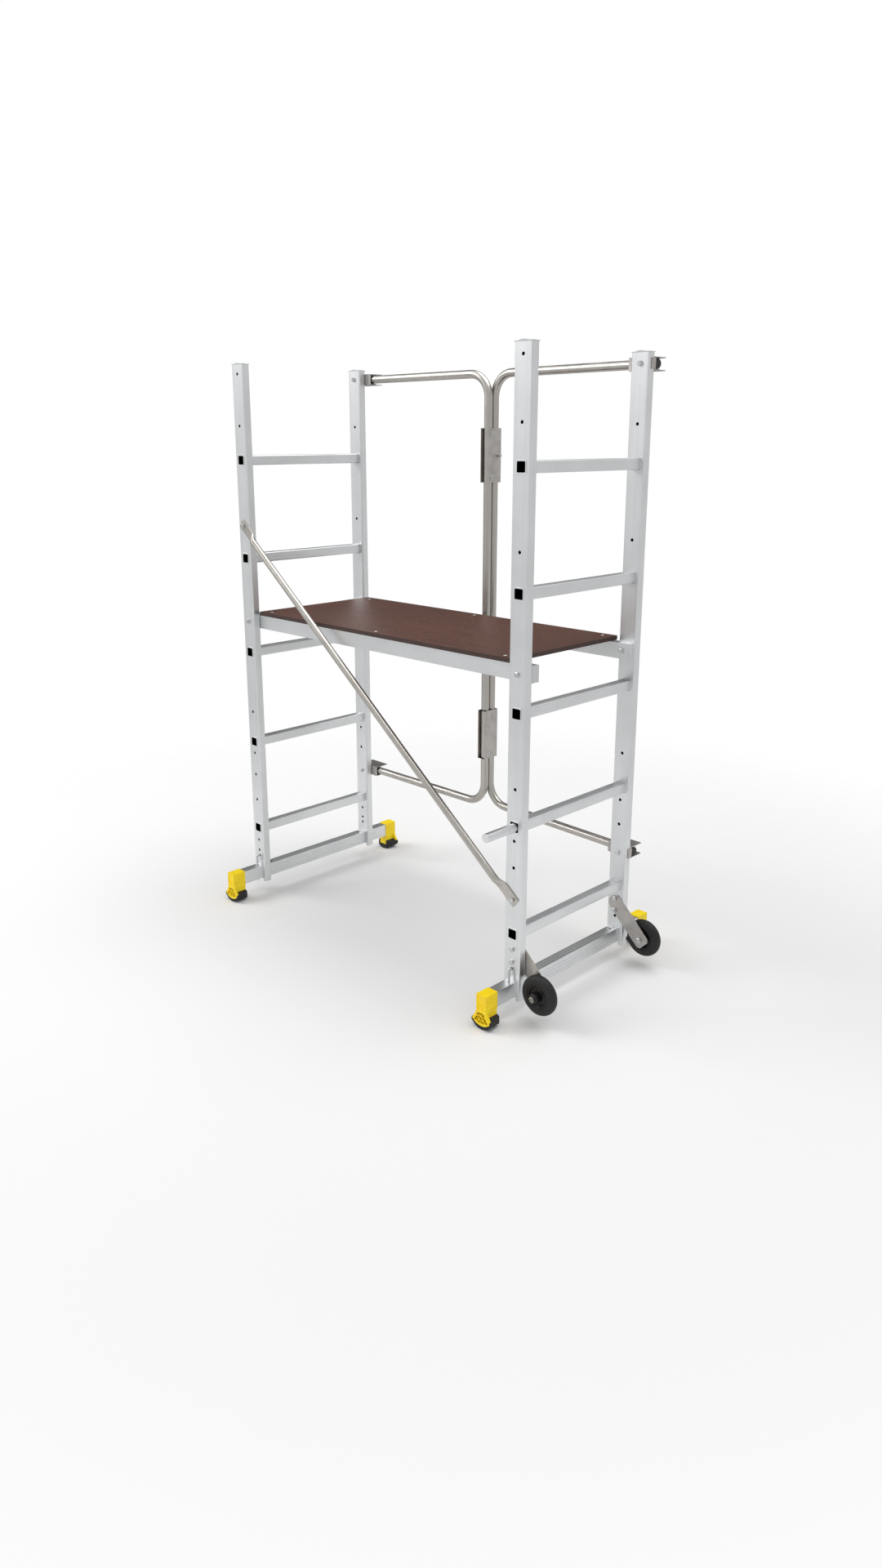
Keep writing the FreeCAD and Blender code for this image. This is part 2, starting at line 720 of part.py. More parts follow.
def makeDeck():
    """A sheet of film-faced plywood, drilled for its screws."""
    body = newBody("Deck")
    outline = newSketch(body, "DeckOutline", "XY_Plane")
    long = dim.frameSpacing - 2 * dim.deckInset
    wide = 2 * (innerY + dim.deckOverhang)
    sketchRectangle(outline, deckLength, "2 * (%s + deckOverhang)" % innerFace, "0", "0",
                    (long, wide, 0, 0))
    for across, end in screwPlaces:
        x = across * (long / 2 - dim.screwInset)
        y = ends[end] * (innerY - dim.railWidth / 2)
        sketchCircle(outline, "screwRadius + threadClearance",
                     "(%d) * (%s / 2 - screwInset)" % (across, deckLength), screwY(end),
                     (dim.screwRadius + dim.threadClearance, x, y))
    board = pad(body, outline, "DeckSheet", "deckThickness")
    sinks = newSketch(body, "DeckSinks", "XY_Plane")
    sinks.setExpression("AttachmentOffset.Base.z", tie("deckThickness"))
    for across, end in screwPlaces:
        x = across * (long / 2 - dim.screwInset)
        y = ends[end] * (innerY - dim.railWidth / 2)
        sketchCircle(sinks, "screwHeadRadius + threadClearance",
                     "(%d) * (%s / 2 - screwInset)" % (across, deckLength), screwY(end),
                     (dim.screwHeadRadius + dim.threadClearance, x, y))
    recess = body.newObject("PartDesign::Pocket", "DeckSinkPocket")
    recess.Profile = sinks
    recess.setExpression("Length", tie("screwHeadHeight"))
    doc.recompute()
    assert recess.Shape.Volume < board.Shape.Volume - 100, "the screw heads' recesses are missing"
    place(body, middle, "0", railTop)
    return node("platform_deck", body)


def makeRail(end):
    """A rectangular tube along the inner faces of the stiles, under the deck's edge."""
    name = "Rail" + end.title()
    y = screwY(end)
    z = "holePlatform"
    outside = box(name + "Outside", (railLength, "railWidth", "railHeight"), (middle, y, z))
    tools = [box(name + "Inside", (railLength + " + 2", "railWidth - 2 * railWall",
                                   "railHeight - 2 * railWall"), (middle, y, z))]
    for side in sides:
        tools.append(cylinder(name + "BoltHole" + side.title(), "holeRadius", "railWidth + 2",
                              (frameX(side), y, z), "y"))
    for across in (-1, 0, 1):
        tools.append(cylinder(name + "ScrewHole%d" % (across + 1), "screwRadius + threadClearance",
                              "2 * railWall + 1", (screwX(across), y, railTop)))
    return node("platform_rail_" + end, cut(name, outside, tools))


def makeRailCap(side, end):
    """A plastic plug in a rail's open end, with a groove down its face."""
    name = "RailCap" + side.title() + end.title()
    sign = sides[side]
    y = screwY(end)
    face = "(%s + (%d) * (%s + railCapThickness) / 2)" % (middle, sign, railLength)
    inner = "(%s + (%d) * (%s / 2 - 5))" % (middle, sign, railLength)
    plate = box(name + "Plate", ("railCapThickness", "railWidth", "railHeight"),
                (face, y, "holePlatform"))
    plug = box(name + "Plug", ("10", "railWidth - 2 * railWall - 0.2",
                               "railHeight - 2 * railWall - 0.2"), (inner, y, "holePlatform"))
    groove = box(name + "Groove", ("2", "railWidth / 4", "railHeight + 2"),
                 ("%s + (%d) * railCapThickness / 2" % (face, sign), y, "holePlatform"))
    return cut(name, fuse(name + "Body", [plate, plug]), [groove])


def makeScrew(across, end):
    name = "Screw%d%s" % (across + 1, end.title())
    x, y = screwX(across), screwY(end)
    deckTop = "(%s + deckThickness)" % railTop
    length = "(deckThickness + railWall + 3)"
    head = cylinder(name + "Head", "screwHeadRadius", "screwHeadHeight",
                    (x, y, deckTop + " - screwHeadHeight / 2"))
    shank = cylinder(name + "Shank", "screwRadius", length, (x, y, deckTop + " - %s / 2" % length))
    return fuse(name, [head, shank])


# ---- brace ---------------------------------------------------------------------------

def flatWire(x, width, thickness, base):
    """A rounded slot across the brace at x, lying on the height base."""
    r = thickness / 2
    w = width / 2 - r
    low = [Vector(x, -w, base), Vector(x, w, base)]
    high = [Vector(x, w, base + thickness), Vector(x, -w, base + thickness)]
    return Part.Wire([
        Part.LineSegment(low[0], low[1]).toShape(),
        Part.Arc(low[1], Vector(x, w + r, base + r), high[0]).toShape(),
        Part.LineSegment(high[0], high[1]).toShape(),
        Part.Arc(high[1], Vector(x, -w - r, base + r), low[0]).toShape()])


def braceEnd(length, radius, width, thickness, base):
    """One flattened end and the stretch where it opens out to the round tube. X runs from
    the bolt inwards, Z away from the stile."""
    flat = Part.Face(flatWire(-dim.braceFlatEnd, width, thickness, base))
    flat = flat.extrude(Vector(dim.braceFlatEnd + dim.braceFlatLength, 0, 0))
    start = dim.braceFlatLength
    loftFrom = flatWire(start, width, thickness, base)
    circle = Part.makeCircle(radius, Vector(start + dim.braceTransition, 0, dim.braceRadius),
                             Vector(1, 0, 0))
    opening = Part.makeLoft([loftFrom, Part.Wire(circle)], True, True)
    run = length / 2 - start - dim.braceTransition
    tube = Part.makeCylinder(radius, run, Vector(start + dim.braceTransition, 0, dim.braceRadius),
                             Vector(1, 0, 0))
    return flat.fuse([opening, tube])


def braceHalf(length):
    outside = braceEnd(length, dim.braceRadius, dim.braceFlatWidth, dim.braceFlatThickness, 0)
    slit = 0.4
    inside = braceEnd(length, dim.braceRadius - dim.braceWall,
                      dim.braceFlatWidth - 2 * dim.braceWall, slit,
                      (dim.braceFlatThickness - slit) / 2)
    hole = Part.makeCylinder(dim.holeRadius, 2 * dim.braceFlatThickness,
                             Vector(0, 0, -dim.braceFlatThickness / 2))
    return outside.cut([inside, hole])


def makeBrace():
    """A round tube, flattened at both ends, from high on the left frame to low on the
    right one, across the front."""
    drop = dim.holeBraceHigh - dim.holeGuardLow
    length = math.hypot(dim.frameSpacing, drop)
    half = braceHalf(length)
    other = half.copy()
    other.rotate(Vector(length / 2, 0, 0), Vector(0, 0, 1), 180)
    whole = half.fuse(other).removeSplitter()
    upright = Rotation(Vector(1, 0, 0), 90)
    slope = Rotation(Vector(0, 1, 0), math.degrees(math.atan2(drop, dim.frameSpacing)))
    spot = Placement(Vector(frameXNumber("left"), -outerY, dim.holeBraceHigh), slope * upright)
    return node("diagonal_brace", feature("diagonal_brace", whole, spot))


# ---- guard ---------------------------------------------------------------------------

def guardTube(reach):
    """A C of bent tube whose upright leg is on the Z axis and whose open ends reach
    along +X, at the heights of the two guard holes."""
    ends_ = reach - dim.plugThickness
    points = [Vector(ends_, 0, dim.holeGuardHigh), Vector(0, 0, dim.holeGuardHigh),
              Vector(0, 0, dim.holeGuardLow), Vector(ends_, 0, dim.holeGuardLow)]
    outside = rod(points, dim.guardRadius, dim.guardBend)
    inside = rod(points, dim.guardRadius - dim.guardWall, dim.guardBend)
    return outside.cut(inside)


def plugShape(reach):
    """The plugs in the two open ends of a guard tube, in the tube's own frame."""
    plugs = []
    for height in (dim.holeGuardHigh, dim.holeGuardLow):
        face = Part.makeCylinder(dim.guardRadius, dim.plugThickness,
                                 Vector(reach - dim.plugThickness, 0, height), Vector(1, 0, 0))
        stem = Part.makeCylinder(dim.guardRadius - dim.guardWall - 0.1, 12,
                                 Vector(reach - dim.plugThickness - 12, 0, height),
                                 Vector(1, 0, 0))
        plugs.append(face.fuse(stem).removeSplitter())
    return Part.makeCompound(plugs)


rivetHeights = [dim.channelHigh + sign * dim.rivetPitch / 2 for sign in (-1, 1)]
rivetHeights += [dim.channelLow + sign * dim.rivetPitch / 2 for sign in (-1, 1)]
guardReach = dim.frameSpacing / 2 + dim.stileWidth / 2


def makeGuardHalves():
    """The left half lies along the stiles. The right half's leg stands behind the left
    leg, so it slants back to its clips at the stile."""
    left = guardTube(guardReach)
    for height in rivetHeights:
        hole = Part.makeCylinder(dim.rivetRadius + 0.1, 4 * dim.guardRadius,
                                 Vector(-2 * dim.guardRadius, 0, height), Vector(1, 0, 0))
        left = left.cut(hole)
    leftSpot = Placement(Vector(middleX, legY, 0), Rotation(Vector(0, 0, 1), 180))
    node("guard_left_tube", feature("guard_left_tube", left, leftSpot))
    node("guard_left_plugs", feature("guard_left_plugs", plugShape(guardReach), leftSpot))

    setBack = foldY - legY
    reach = math.hypot(guardReach, setBack)
    slant = math.degrees(math.atan2(setBack, guardReach))
    right = guardTube(reach)
    catch = Part.makeCylinder(dim.lockRadius + 0.6, 2 * dim.guardRadius,
                              Vector(0, 0, dim.channelHigh), Vector(1, 0, 0))
    catch.rotate(Vector(), Vector(0, 0, 1), slant)
    rightSpot = Placement(Vector(middleX, foldY, 0), Rotation(Vector(0, 0, 1), -slant))
    node("guard_right_tube", feature("guard_right_tube", right.cut(catch), rightSpot))
    node("guard_right_plugs", feature("guard_right_plugs", plugShape(reach), rightSpot))


channelHalf = "(guardRadius + channelClearance)"


def makeChannel(which, height):
    """A steel channel round both upright legs: riveted to the left leg, it is the bearing
    in which the right leg turns."""
    name = "Channel" + which.title()
    front = "(%s - channelFront)" % legLine
    inside = "(%s + guardRadius + channelClearance)" % foldLine
    back = "(%s + channelWall)" % inside
    outer = box(name + "Outer", ("2 * (%s + channelWall)" % channelHalf,
                                 "%s - %s" % (back, front), "channelLength"),
                (middle, "(%s + %s) / 2" % (back, front), height))
    inner = box(name + "Inner", ("2 * " + channelHalf, "%s - %s + 10" % (inside, front),
                                 "channelLength + 2"),
                (middle, "(%s + %s) / 2 - 5" % (inside, front), height))
    blank = rounded(name + "Blank", outer, dim.channelWall, "z")
    tools = [inner]
    for sign in (-1, 1):
        tools.append(cylinder("%sRivetHole%d" % (name, sign + 1), "rivetRadius + 0.1",
                              "6 * guardRadius",
                              (middle, legLine, "%s + (%d) * rivetPitch / 2" % (height, sign)),
                              "x"))
    if which == "upper":
        tools.append(cylinder(name + "LockHole", "lockRadius + 0.1", "4 * guardRadius",
                              ("%s + 2 * guardRadius" % middle, foldLine, height), "x"))
    return node("hinge_channel_" + which, cut(name, blank, tools))


def makeRivet(number, height, sign):
    """A tubular rivet through a channel and the left leg."""
    name = "Rivet%d" % number
    z = "%s + (%d) * rivetPitch / 2" % (height, sign)
    grip = "(2 * (%s + channelWall))" % channelHalf
    pieces = [cylinder(name + "Stem", "rivetRadius", grip, (middle, legLine, z), "x")]
    for side in (-1, 1):
        x = "%s + (%d) * (%s + rivetHeadHeight) / 2" % (middle, side, grip)
        pieces.append(cylinder("%sHead%d" % (name, side + 1), "rivetHeadRadius",
                               "rivetHeadHeight", (x, legLine, z), "x"))
    bore = cylinder(name + "Bore", "rivetBore", grip + " + 10", (middle, legLine, z), "x")
    return cut(name, fuse(name + "Solid", pieces), [bore])


def makeLock():
    """The plunger that locks the guard open, in its bush on the upper channel."""
    face = "(%s + %s + channelWall)" % (middle, channelHalf)
    bush = cylinder("LockBushRing", "lockBushRadius", "lockBushLength",
                    (face + " + lockBushLength / 2", foldLine, "channelHigh"), "x")
    bore = cylinder("LockBushBore", "lockRadius + 0.06", "3 * lockBushLength",
                    (face, foldLine, "channelHigh"), "x")
    node("lock_bush", cut("LockBush", bush, [bore]))
    tip = "(%s + guardRadius + endPlay)" % middle
    seat = "(%s + lockBushLength + endPlay)" % face
    stem = cylinder("LockStem", "lockRadius", "%s - %s + 1" % (seat, tip),
                    ("(%s + %s + 1) / 2" % (seat, tip), foldLine, "channelHigh"), "x")
    head = cylinder("LockHead", "lockHeadRadius", "lockHeadLength",
                    (seat + " + lockHeadLength / 2", foldLine, "channelHigh"), "x")
    node("lock_plunger", fuse("LockPlunger", [stem, head]))


clipHalf = "(guardRadius + clipClearance + clipWall)"


def makeBracket(side, level, height):
    """A folded steel bracket on the back of a stile: a web, two shelves and a tab that
    wraps the stile's outer edge."""
    name = "Bracket" + side.title() + level.title()
    sign = sides[side]
    length = "(stileWidth + bracketInboard)"
    x = "(%s - (%d) * bracketInboard / 2)" % (frameX(side), sign)
    tall = "(2 * (%s + bracketThickness))" % clipHalf
    web = box(name + "Web", (length, "bracketThickness", tall),
              (x, outerFace + " + bracketThickness / 2", height))
    pieces = [web]
    for up in (-1, 1):
        shelf = box("%sShelf%d" % (name, up + 1), (length, "bracketDepth", "bracketThickness"),
                    (x, outerFace + " + bracketDepth / 2",
                     "%s + (%d) * (%s + bracketThickness / 2)" % (height, up, clipHalf)))
        pieces.append(rounded("%sRoundShelf%d" % (name, up + 1), shelf, dim.bracketThickness, "z"))
    edge = "(%s + (%d) * (stileWidth + bracketThickness) / 2)" % (frameX(side), sign)
    pieces.append(box(name + "Tab", ("bracketThickness", "bracketTab + bracketThickness",
                                     "bracketTabHeight"),
                      (edge, outerFace + " - bracketTab / 2 + bracketThickness / 2", height)))
    hole = cylinder(name + "Thread", "boltRadius + threadClearance", "8 * bracketThickness",
                    (frameX(side), outerFace, height), "y")
    return node("guard_bracket_%s_%s" % (side, level), cut(name, fuse(name + "Solid", pieces), [hole]))


def makeClip(side, level, height):
    """A plastic clip between a bracket's shelves: its round seat follows the tube, and its
    mouth opens to the back."""
    sign = sides[side]
    inset = 2
    length = dim.stileWidth + dim.bracketInboard - 2 * inset
    low = frameXNumber(side) - sign * dim.bracketInboard / 2 - length / 2
    back = outerY + dim.bracketThickness
    half = dim.guardRadius + dim.clipClearance + dim.clipWall
    block = Part.makeBox(length, legY + dim.clipMouth - back, 2 * half,
                         Vector(low, back, height - half))
    radius = dim.guardRadius + dim.clipClearance
    slant = math.degrees(math.atan2(foldY - legY, guardReach)) if side == "right" else 0
    seat = Part.makeCylinder(radius, 3 * length, Vector(-3 * length + 60, 0, 0), Vector(1, 0, 0))
    mouth = Part.makeBox(3 * length, 4 * radius, 2 * radius, Vector(-3 * length + 60, 0, -radius))
    hollow = seat.fuse(mouth)
    if side == "left":
        hollow.rotate(Vector(), Vector(0, 0, 1), 0)
        hollow.translate(Vector(3 * length - 120, 0, 0))
    hollow.rotate(Vector(), Vector(0, 0, 1), -slant)
    hollow.translate(Vector(middleX + sign * guardReach, legY, height))
    return block.cut(hollow)


# ---- wheels --------------------------------------------------------------------------

def wheelPlate(end):
    """A flat steel plate on the stile's inner face, from its two bolts down to the axle."""
    sign = ends[end]
    frame = frameXNumber("right")
    axle = Vector(frame + dim.wheelOffset, 0, dim.axleHeight)
    head = Vector(frame, 0, (dim.holeWheelHigh + dim.holeWheelLow) / 2 + 6)
    above = (axle - head).Length + dim.wheelPlateAbove
    half = dim.wheelPlateHalfWidth
    thick = dim.wheelPlateThickness
    band = Part.makeBox(above + dim.wheelPlateBelow, thick, 2 * half, Vector(-above, 0, -half))

    def cornersAt(x):
        return [edge for edge in band.Edges if abs(edge.CenterOfMass.x - x) < 1e-6
                and abs(edge.CenterOfMass.y - thick / 2) < 1e-6]
    band = band.makeFillet(dim.wheelPlateRound, cornersAt(-above))
    band = band.makeChamfer(dim.wheelPlateChamfer, cornersAt(dim.wheelPlateBelow))
    slope = math.degrees(math.atan2(head.z - axle.z, axle.x - head.x))
    band.rotate(Vector(), Vector(0, 1, 0), slope)
    band.translate(axle)
    inner = innerY * sign if sign < 0 else innerY - thick
    band.translate(Vector(0, inner, 0))
    holes = [Part.makeCylinder(dim.axleRadius + dim.threadClearance, 4 * thick,
                               Vector(axle.x, inner - thick, axle.z), Vector(0, 1, 0))]
    for height in (dim.holeWheelHigh, dim.holeWheelLow):
        holes.append(Part.makeCylinder(dim.boltRadius + 0.3, 4 * thick,
                                       Vector(frame, inner - thick, height), Vector(0, 1, 0)))
    return band.cut(holes)


axleX = "(%s + wheelOffset)" % frameX("right")
hubLength = "(tyreWidth + hubOverhang + hubInset)"


def hubInner(end):
    """Y of the hub's inner end, a washer and the end play away from the plate."""
    return "(%d * (%s + washerThickness + endPlay))" % (ends[end], innerFace)


def makeWheel(end):
    name = "Wheel" + end.title()
    sign = ends[end]
    inner = hubInner(end)
    tyreMiddle = "(%s + (%d) * (hubInset + tyreWidth / 2))" % (inner, sign)
    disc = cylinder(name + "Disc", "wheelRadius", "tyreWidth", (axleX, tyreMiddle, "axleHeight"), "y")
    doc.recompute()
    shoulder = doc.addObject("Part::Fillet", name + "Shoulders")
    shoulder.Base = disc
    shoulder.Edges = [(number, dim.tyreShoulder, dim.tyreShoulder)
                      for number, edge in enumerate(disc.Shape.Edges, start=1)
                      if edge.Closed]
    bore = cylinder(name + "RimSeat", "rimRadius", "2 * tyreWidth",
                    (axleX, tyreMiddle, "axleHeight"), "y")
    node("wheel_tyre_" + end, cut(name + "Tyre", shoulder, [bore]))

    rim = cylinder(name + "Rim", "rimRadius", "tyreWidth - 4", (axleX, tyreMiddle, "axleHeight"), "y")
    recesses = []
    for way in (-1, 1):
        face = "(%s + (%d) * (tyreWidth - 4) / 2)" % (tyreMiddle, way)
        recesses.append(cylinder("%sRecess%d" % (name, way + 1), "rimRecessRadius",
                                 "2 * rimRecessDepth", (axleX, face, "axleHeight"), "y"))
    web = cut(name + "Web", rim, recesses)
    hubMiddle = "(%s + (%d) * %s / 2)" % (inner, sign, hubLength)
    barrel = cylinder(name + "Barrel", "hubRadius", hubLength, (axleX, hubMiddle, "axleHeight"), "y")
    axleBore = cylinder(name + "AxleBore", "axleRadius + axleClearance", "2 * " + hubLength,
                        (axleX, hubMiddle, "axleHeight"), "y")
    node("wheel_hub_" + end, cut(name + "Hub", fuse(name + "HubSolid", [web, barrel]), [axleBore]))


def makeAxle(end):
    """The axle bolt with its washer and nut, as three solids."""
    name = "Axle" + end.title()
    sign = ends[end]
    headFace = "(%s + (%d) * (%s + endPlay))" % (hubInner(end), sign, hubLength)
    plateInner = "(%d * (%s - wheelPlateThickness))" % (sign, innerFace)
    length = "((%d) * (%s - %s) + axleNutHeight + boltTail)" % (sign, headFace, plateInner)
    axle = bolt(name + "Bolt", "axleHeadFlats", "axleHeadHeight", "axleRadius", length,
                headFace, sign, axleX, "axleHeight")
    holder = nut(name + "Nut", "axleHeadFlats", "axleNutHeight", "axleRadius", plateInner,
                 -sign, axleX, "axleHeight")
    washerMiddle = "(%d * (%s + washerThickness / 2))" % (sign, innerFace)
    ring = cylinder(name + "WasherRing", "washerRadius", "washerThickness",
                    (axleX, washerMiddle, "axleHeight"), "y")
    hole = cylinder(name + "WasherHole", "axleRadius + threadClearance", "3 * washerThickness",
                    (axleX, washerMiddle, "axleHeight"), "y")
    return [axle, holder, cut(name + "Washer", ring, [hole])]


# ---- peg -----------------------------------------------------------------------------

def makePeg():
    """A round tube, closed at its outer end, that slides in the open end of a rung."""
    x = frameX("right")
    rung = "(lowestRung + rungPitch)"
    z = "(%s - rungSize / 2 + rungWall + pegRest + pegRadius)" % rung
    outerEnd = "(-%s - pegOutside)" % outerFace
    tube = cylinder("PegTube", "pegRadius", "pegLength",
                    (x, outerEnd + " + pegLength / 2", z), "y")
    bore = cylinder("PegBore", "pegRadius - pegWall", "pegLength",
                    (x, outerEnd + " + pegLength / 2 + 3", z), "y")
    node("rung_peg", cut("Peg", tube, [bore]))


# ---- assembly ------------------------------------------------------------------------

for side in sides:
    for end in ends:
        makeStile(side, end)
for side in sides:
    for number in range(rungCount):
        makeRung(side, number)
group("stile_caps", [makeCap(side, end) for side in sides for end in ends])

for side in sides:
    makeCrossbar(side)
pins = [feature("pin_%s_%s" % (side, end), pinShape(side, end)) for side in sides for end in ends]
group("crossbar_pins", pins)
for side in sides:
    for end in ends:
        makeFoot(side, end)

makeDeck()
for end in ends:
    makeRail(end)
group("rail_caps", [makeRailCap(side, end) for side in sides for end in ends])
group("deck_screws", [makeScrew(across, end) for across, end in screwPlaces])

boltSpan = "(stileThickness + railWidth + nutHeight + boltTail)"
platformBolts = []
platformNuts = []
for side in sides:
    for end, sign in ends.items():
        tag = side.title() + end.title()
        platformBolts.append(bolt("PlatformBolt" + tag, "headFlats", "headHeight", "boltRadius",
                                  boltSpan, "(%d * %s)" % (sign, outerFace), sign, frameX(side),
                                  "holePlatform"))
        platformNuts.append(nut("PlatformNut" + tag, "headFlats", "nutHeight", "boltRadius",
                                "(%d * (%s - railWidth))" % (sign, innerFace), -sign,
                                frameX(side), "holePlatform"))
group("platform_bolts", platformBolts)
group("platform_nuts", platformNuts)

makeBrace()
braceFasteners = []
for side, height in (("left", "holeBraceHigh"), ("right", "holeGuardLow")):
    span = "(braceFlatThickness + stileThickness + nutHeight + boltTail)"
    braceFasteners.append(bolt("BraceBolt" + side.title(), "headFlats", "headHeight",
                               "boltRadius", span, "(-%s - braceFlatThickness)" % outerFace, -1,
                               frameX(side), height))
    braceFasteners.append(nut("BraceNut" + side.title(), "headFlats", "nutHeight", "boltRadius",
                              "(-%s)" % innerFace, 1, frameX(side), height))
group("brace_bolts", braceFasteners)

makeGuardHalves()
makeChannel("upper", "channelHigh")
makeChannel("lower", "channelLow")
group("hinge_rivets", [makeRivet(1 + 2 * index + (sign + 1) // 2, height, sign)
                       for index, height in enumerate(("channelHigh", "channelLow"))
                       for sign in (-1, 1)])
makeLock()

levels = {"upper": "holeGuardHigh", "lower": "holeGuardLow"}
clips = []
bracketBolts = []
for side in sides:
    for level, height in levels.items():
        tag = side + "_" + level
        makeBracket(side, level, height)
        clips.append(feature("clip_" + tag, makeClip(side, level, getattr(dim, height))))
        bracketBolts.append(bolt("BracketBolt" + tag.title().replace("_", ""), "headFlats",
                                 "headHeight", "boltRadius",
                                 "(stileThickness + bracketThickness)",
                                 innerFace, -1, frameX(side), height))
group("guard_clips", clips)
group("guard_bracket_bolts", bracketBolts)

wheelFasteners = []
axles = []
for end, sign in ends.items():
    node("wheel_bracket_" + end, feature("wheel_bracket_" + end, wheelPlate(end)))
    makeWheel(end)
    axles += makeAxle(end)
    for height in ("holeWheelHigh", "holeWheelLow"):
        tag = end.title() + height[9:]
        span = "(stileThickness + wheelPlateThickness + nutHeight + boltTail)"
        wheelFasteners.append(bolt("WheelBolt" + tag, "headFlats", "headHeight", "boltRadius",
                                   span, "(%d * %s)" % (sign, outerFace), sign,
                                   frameX("right"), height))
        wheelFasteners.append(nut("WheelNut" + tag, "headFlats", "nutHeight", "boltRadius",
                                  "(%d * (%s - wheelPlateThickness))" % (sign, innerFace), -sign,
                                  frameX("right"), height))
group("wheel_axles", axles)
group("wheel_bracket_bolts", wheelFasteners)
makePeg()

# ---- checks and export ---------------------------------------------------------------

doc.recompute()
for item in doc.Objects:
    if "Invalid" in item.State or "Error" in item.State:
        raise RuntimeError("%s failed: %s" % (item.Name, item.State))
os.makedirs("parts", exist_ok=True)
for item in nodes:
    if item.Shape.isNull() or not item.Shape.isValid():
        raise RuntimeError("%s has no valid shape" % item.Label)
for item in nodes:
    item.Shape.exportStep("parts/%s.step" % item.Label)
print("%d nodes, %d solids" % (len(nodes), sum(len(item.Shape.Solids) for item in nodes)))
box_ = Part.makeCompound([item.Shape for item in nodes]).BoundBox
print("box %.1f..%.1f  %.1f..%.1f  %.1f..%.1f" % (box_.XMin, box_.XMax, box_.YMin, box_.YMax,
                                                  box_.ZMin, box_.ZMax))
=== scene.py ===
import bpy
import bmesh
import json
import math
from mathutils import Matrix, Vector


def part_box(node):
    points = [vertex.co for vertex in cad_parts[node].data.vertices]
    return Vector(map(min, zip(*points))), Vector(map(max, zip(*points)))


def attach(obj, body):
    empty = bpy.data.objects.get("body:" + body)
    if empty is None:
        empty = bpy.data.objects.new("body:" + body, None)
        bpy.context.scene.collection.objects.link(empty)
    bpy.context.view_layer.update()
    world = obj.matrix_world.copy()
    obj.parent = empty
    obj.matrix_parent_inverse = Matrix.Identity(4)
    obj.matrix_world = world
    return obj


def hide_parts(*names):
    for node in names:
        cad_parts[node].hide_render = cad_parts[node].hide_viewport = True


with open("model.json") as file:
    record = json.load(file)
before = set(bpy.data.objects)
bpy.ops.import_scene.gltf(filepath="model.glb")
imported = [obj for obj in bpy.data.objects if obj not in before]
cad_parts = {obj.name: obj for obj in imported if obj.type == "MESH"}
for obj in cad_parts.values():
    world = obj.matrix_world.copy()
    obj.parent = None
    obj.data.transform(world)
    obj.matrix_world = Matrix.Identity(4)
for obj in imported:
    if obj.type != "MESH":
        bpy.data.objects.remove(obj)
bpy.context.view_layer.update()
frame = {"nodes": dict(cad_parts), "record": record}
mm = 0.001


# colours and materials

def hexColour(text):
    # sRGB hex to the linear values that the shaders take
    channels = [int(text[i:i + 2], 16) / 255 for i in (1, 3, 5)]
    linear = [c / 12.92 if c <= 0.04045 else ((c + 0.055) / 1.055) ** 2.4 for c in channels]
    return linear + [1]


def addNode(tree, kind, settings=None, links=None):
    # settings go to attributes or, where none has that name, to input sockets
    node = tree.nodes.new(kind)
    for key, value in (settings or {}).items():
        if isinstance(key, str) and hasattr(node, key):
            setattr(node, key, value)
        else:
            node.inputs[key].default_value = value
    for key, socket in (links or {}).items():
        tree.links.new(socket, node.inputs[key])
    return node


def newMaterial(name, colour, metallic, roughness, settings=None):
    # a Principled surface, ready for its patterns
    material = bpy.data.materials.new(name)
    material.use_nodes = True
    tree = material.node_tree
    tree.nodes.clear()
    surface = addNode(tree, "ShaderNodeBsdfPrincipled",
                      {"Base Color": hexColour(colour), "Metallic": metallic,
                       "Roughness": roughness})
    for key, value in (settings or {}).items():
        surface.inputs[key].default_value = value
    addNode(tree, "ShaderNodeOutputMaterial", links={"Surface": surface.outputs["BSDF"]})
    place = addNode(tree, "ShaderNodeTexCoord").outputs["Object"]
    return material, tree, surface, place


def stretched(tree, place, scale):
    return addNode(tree, "ShaderNodeMapping", {"Scale": scale}, {"Vector": place}).outputs["Vector"]


def ramp(tree, factor, stops):
    node = addNode(tree, "ShaderNodeValToRGB", links={"Fac": factor})
    for index, (position, colour) in enumerate(stops):
        elements = node.color_ramp.elements
        element = elements[index] if index < 2 else elements.new(position)
        element.position = position
        element.color = colour
    return node.outputs["Color"]


def grey(value):
    return [value, value, value, 1]


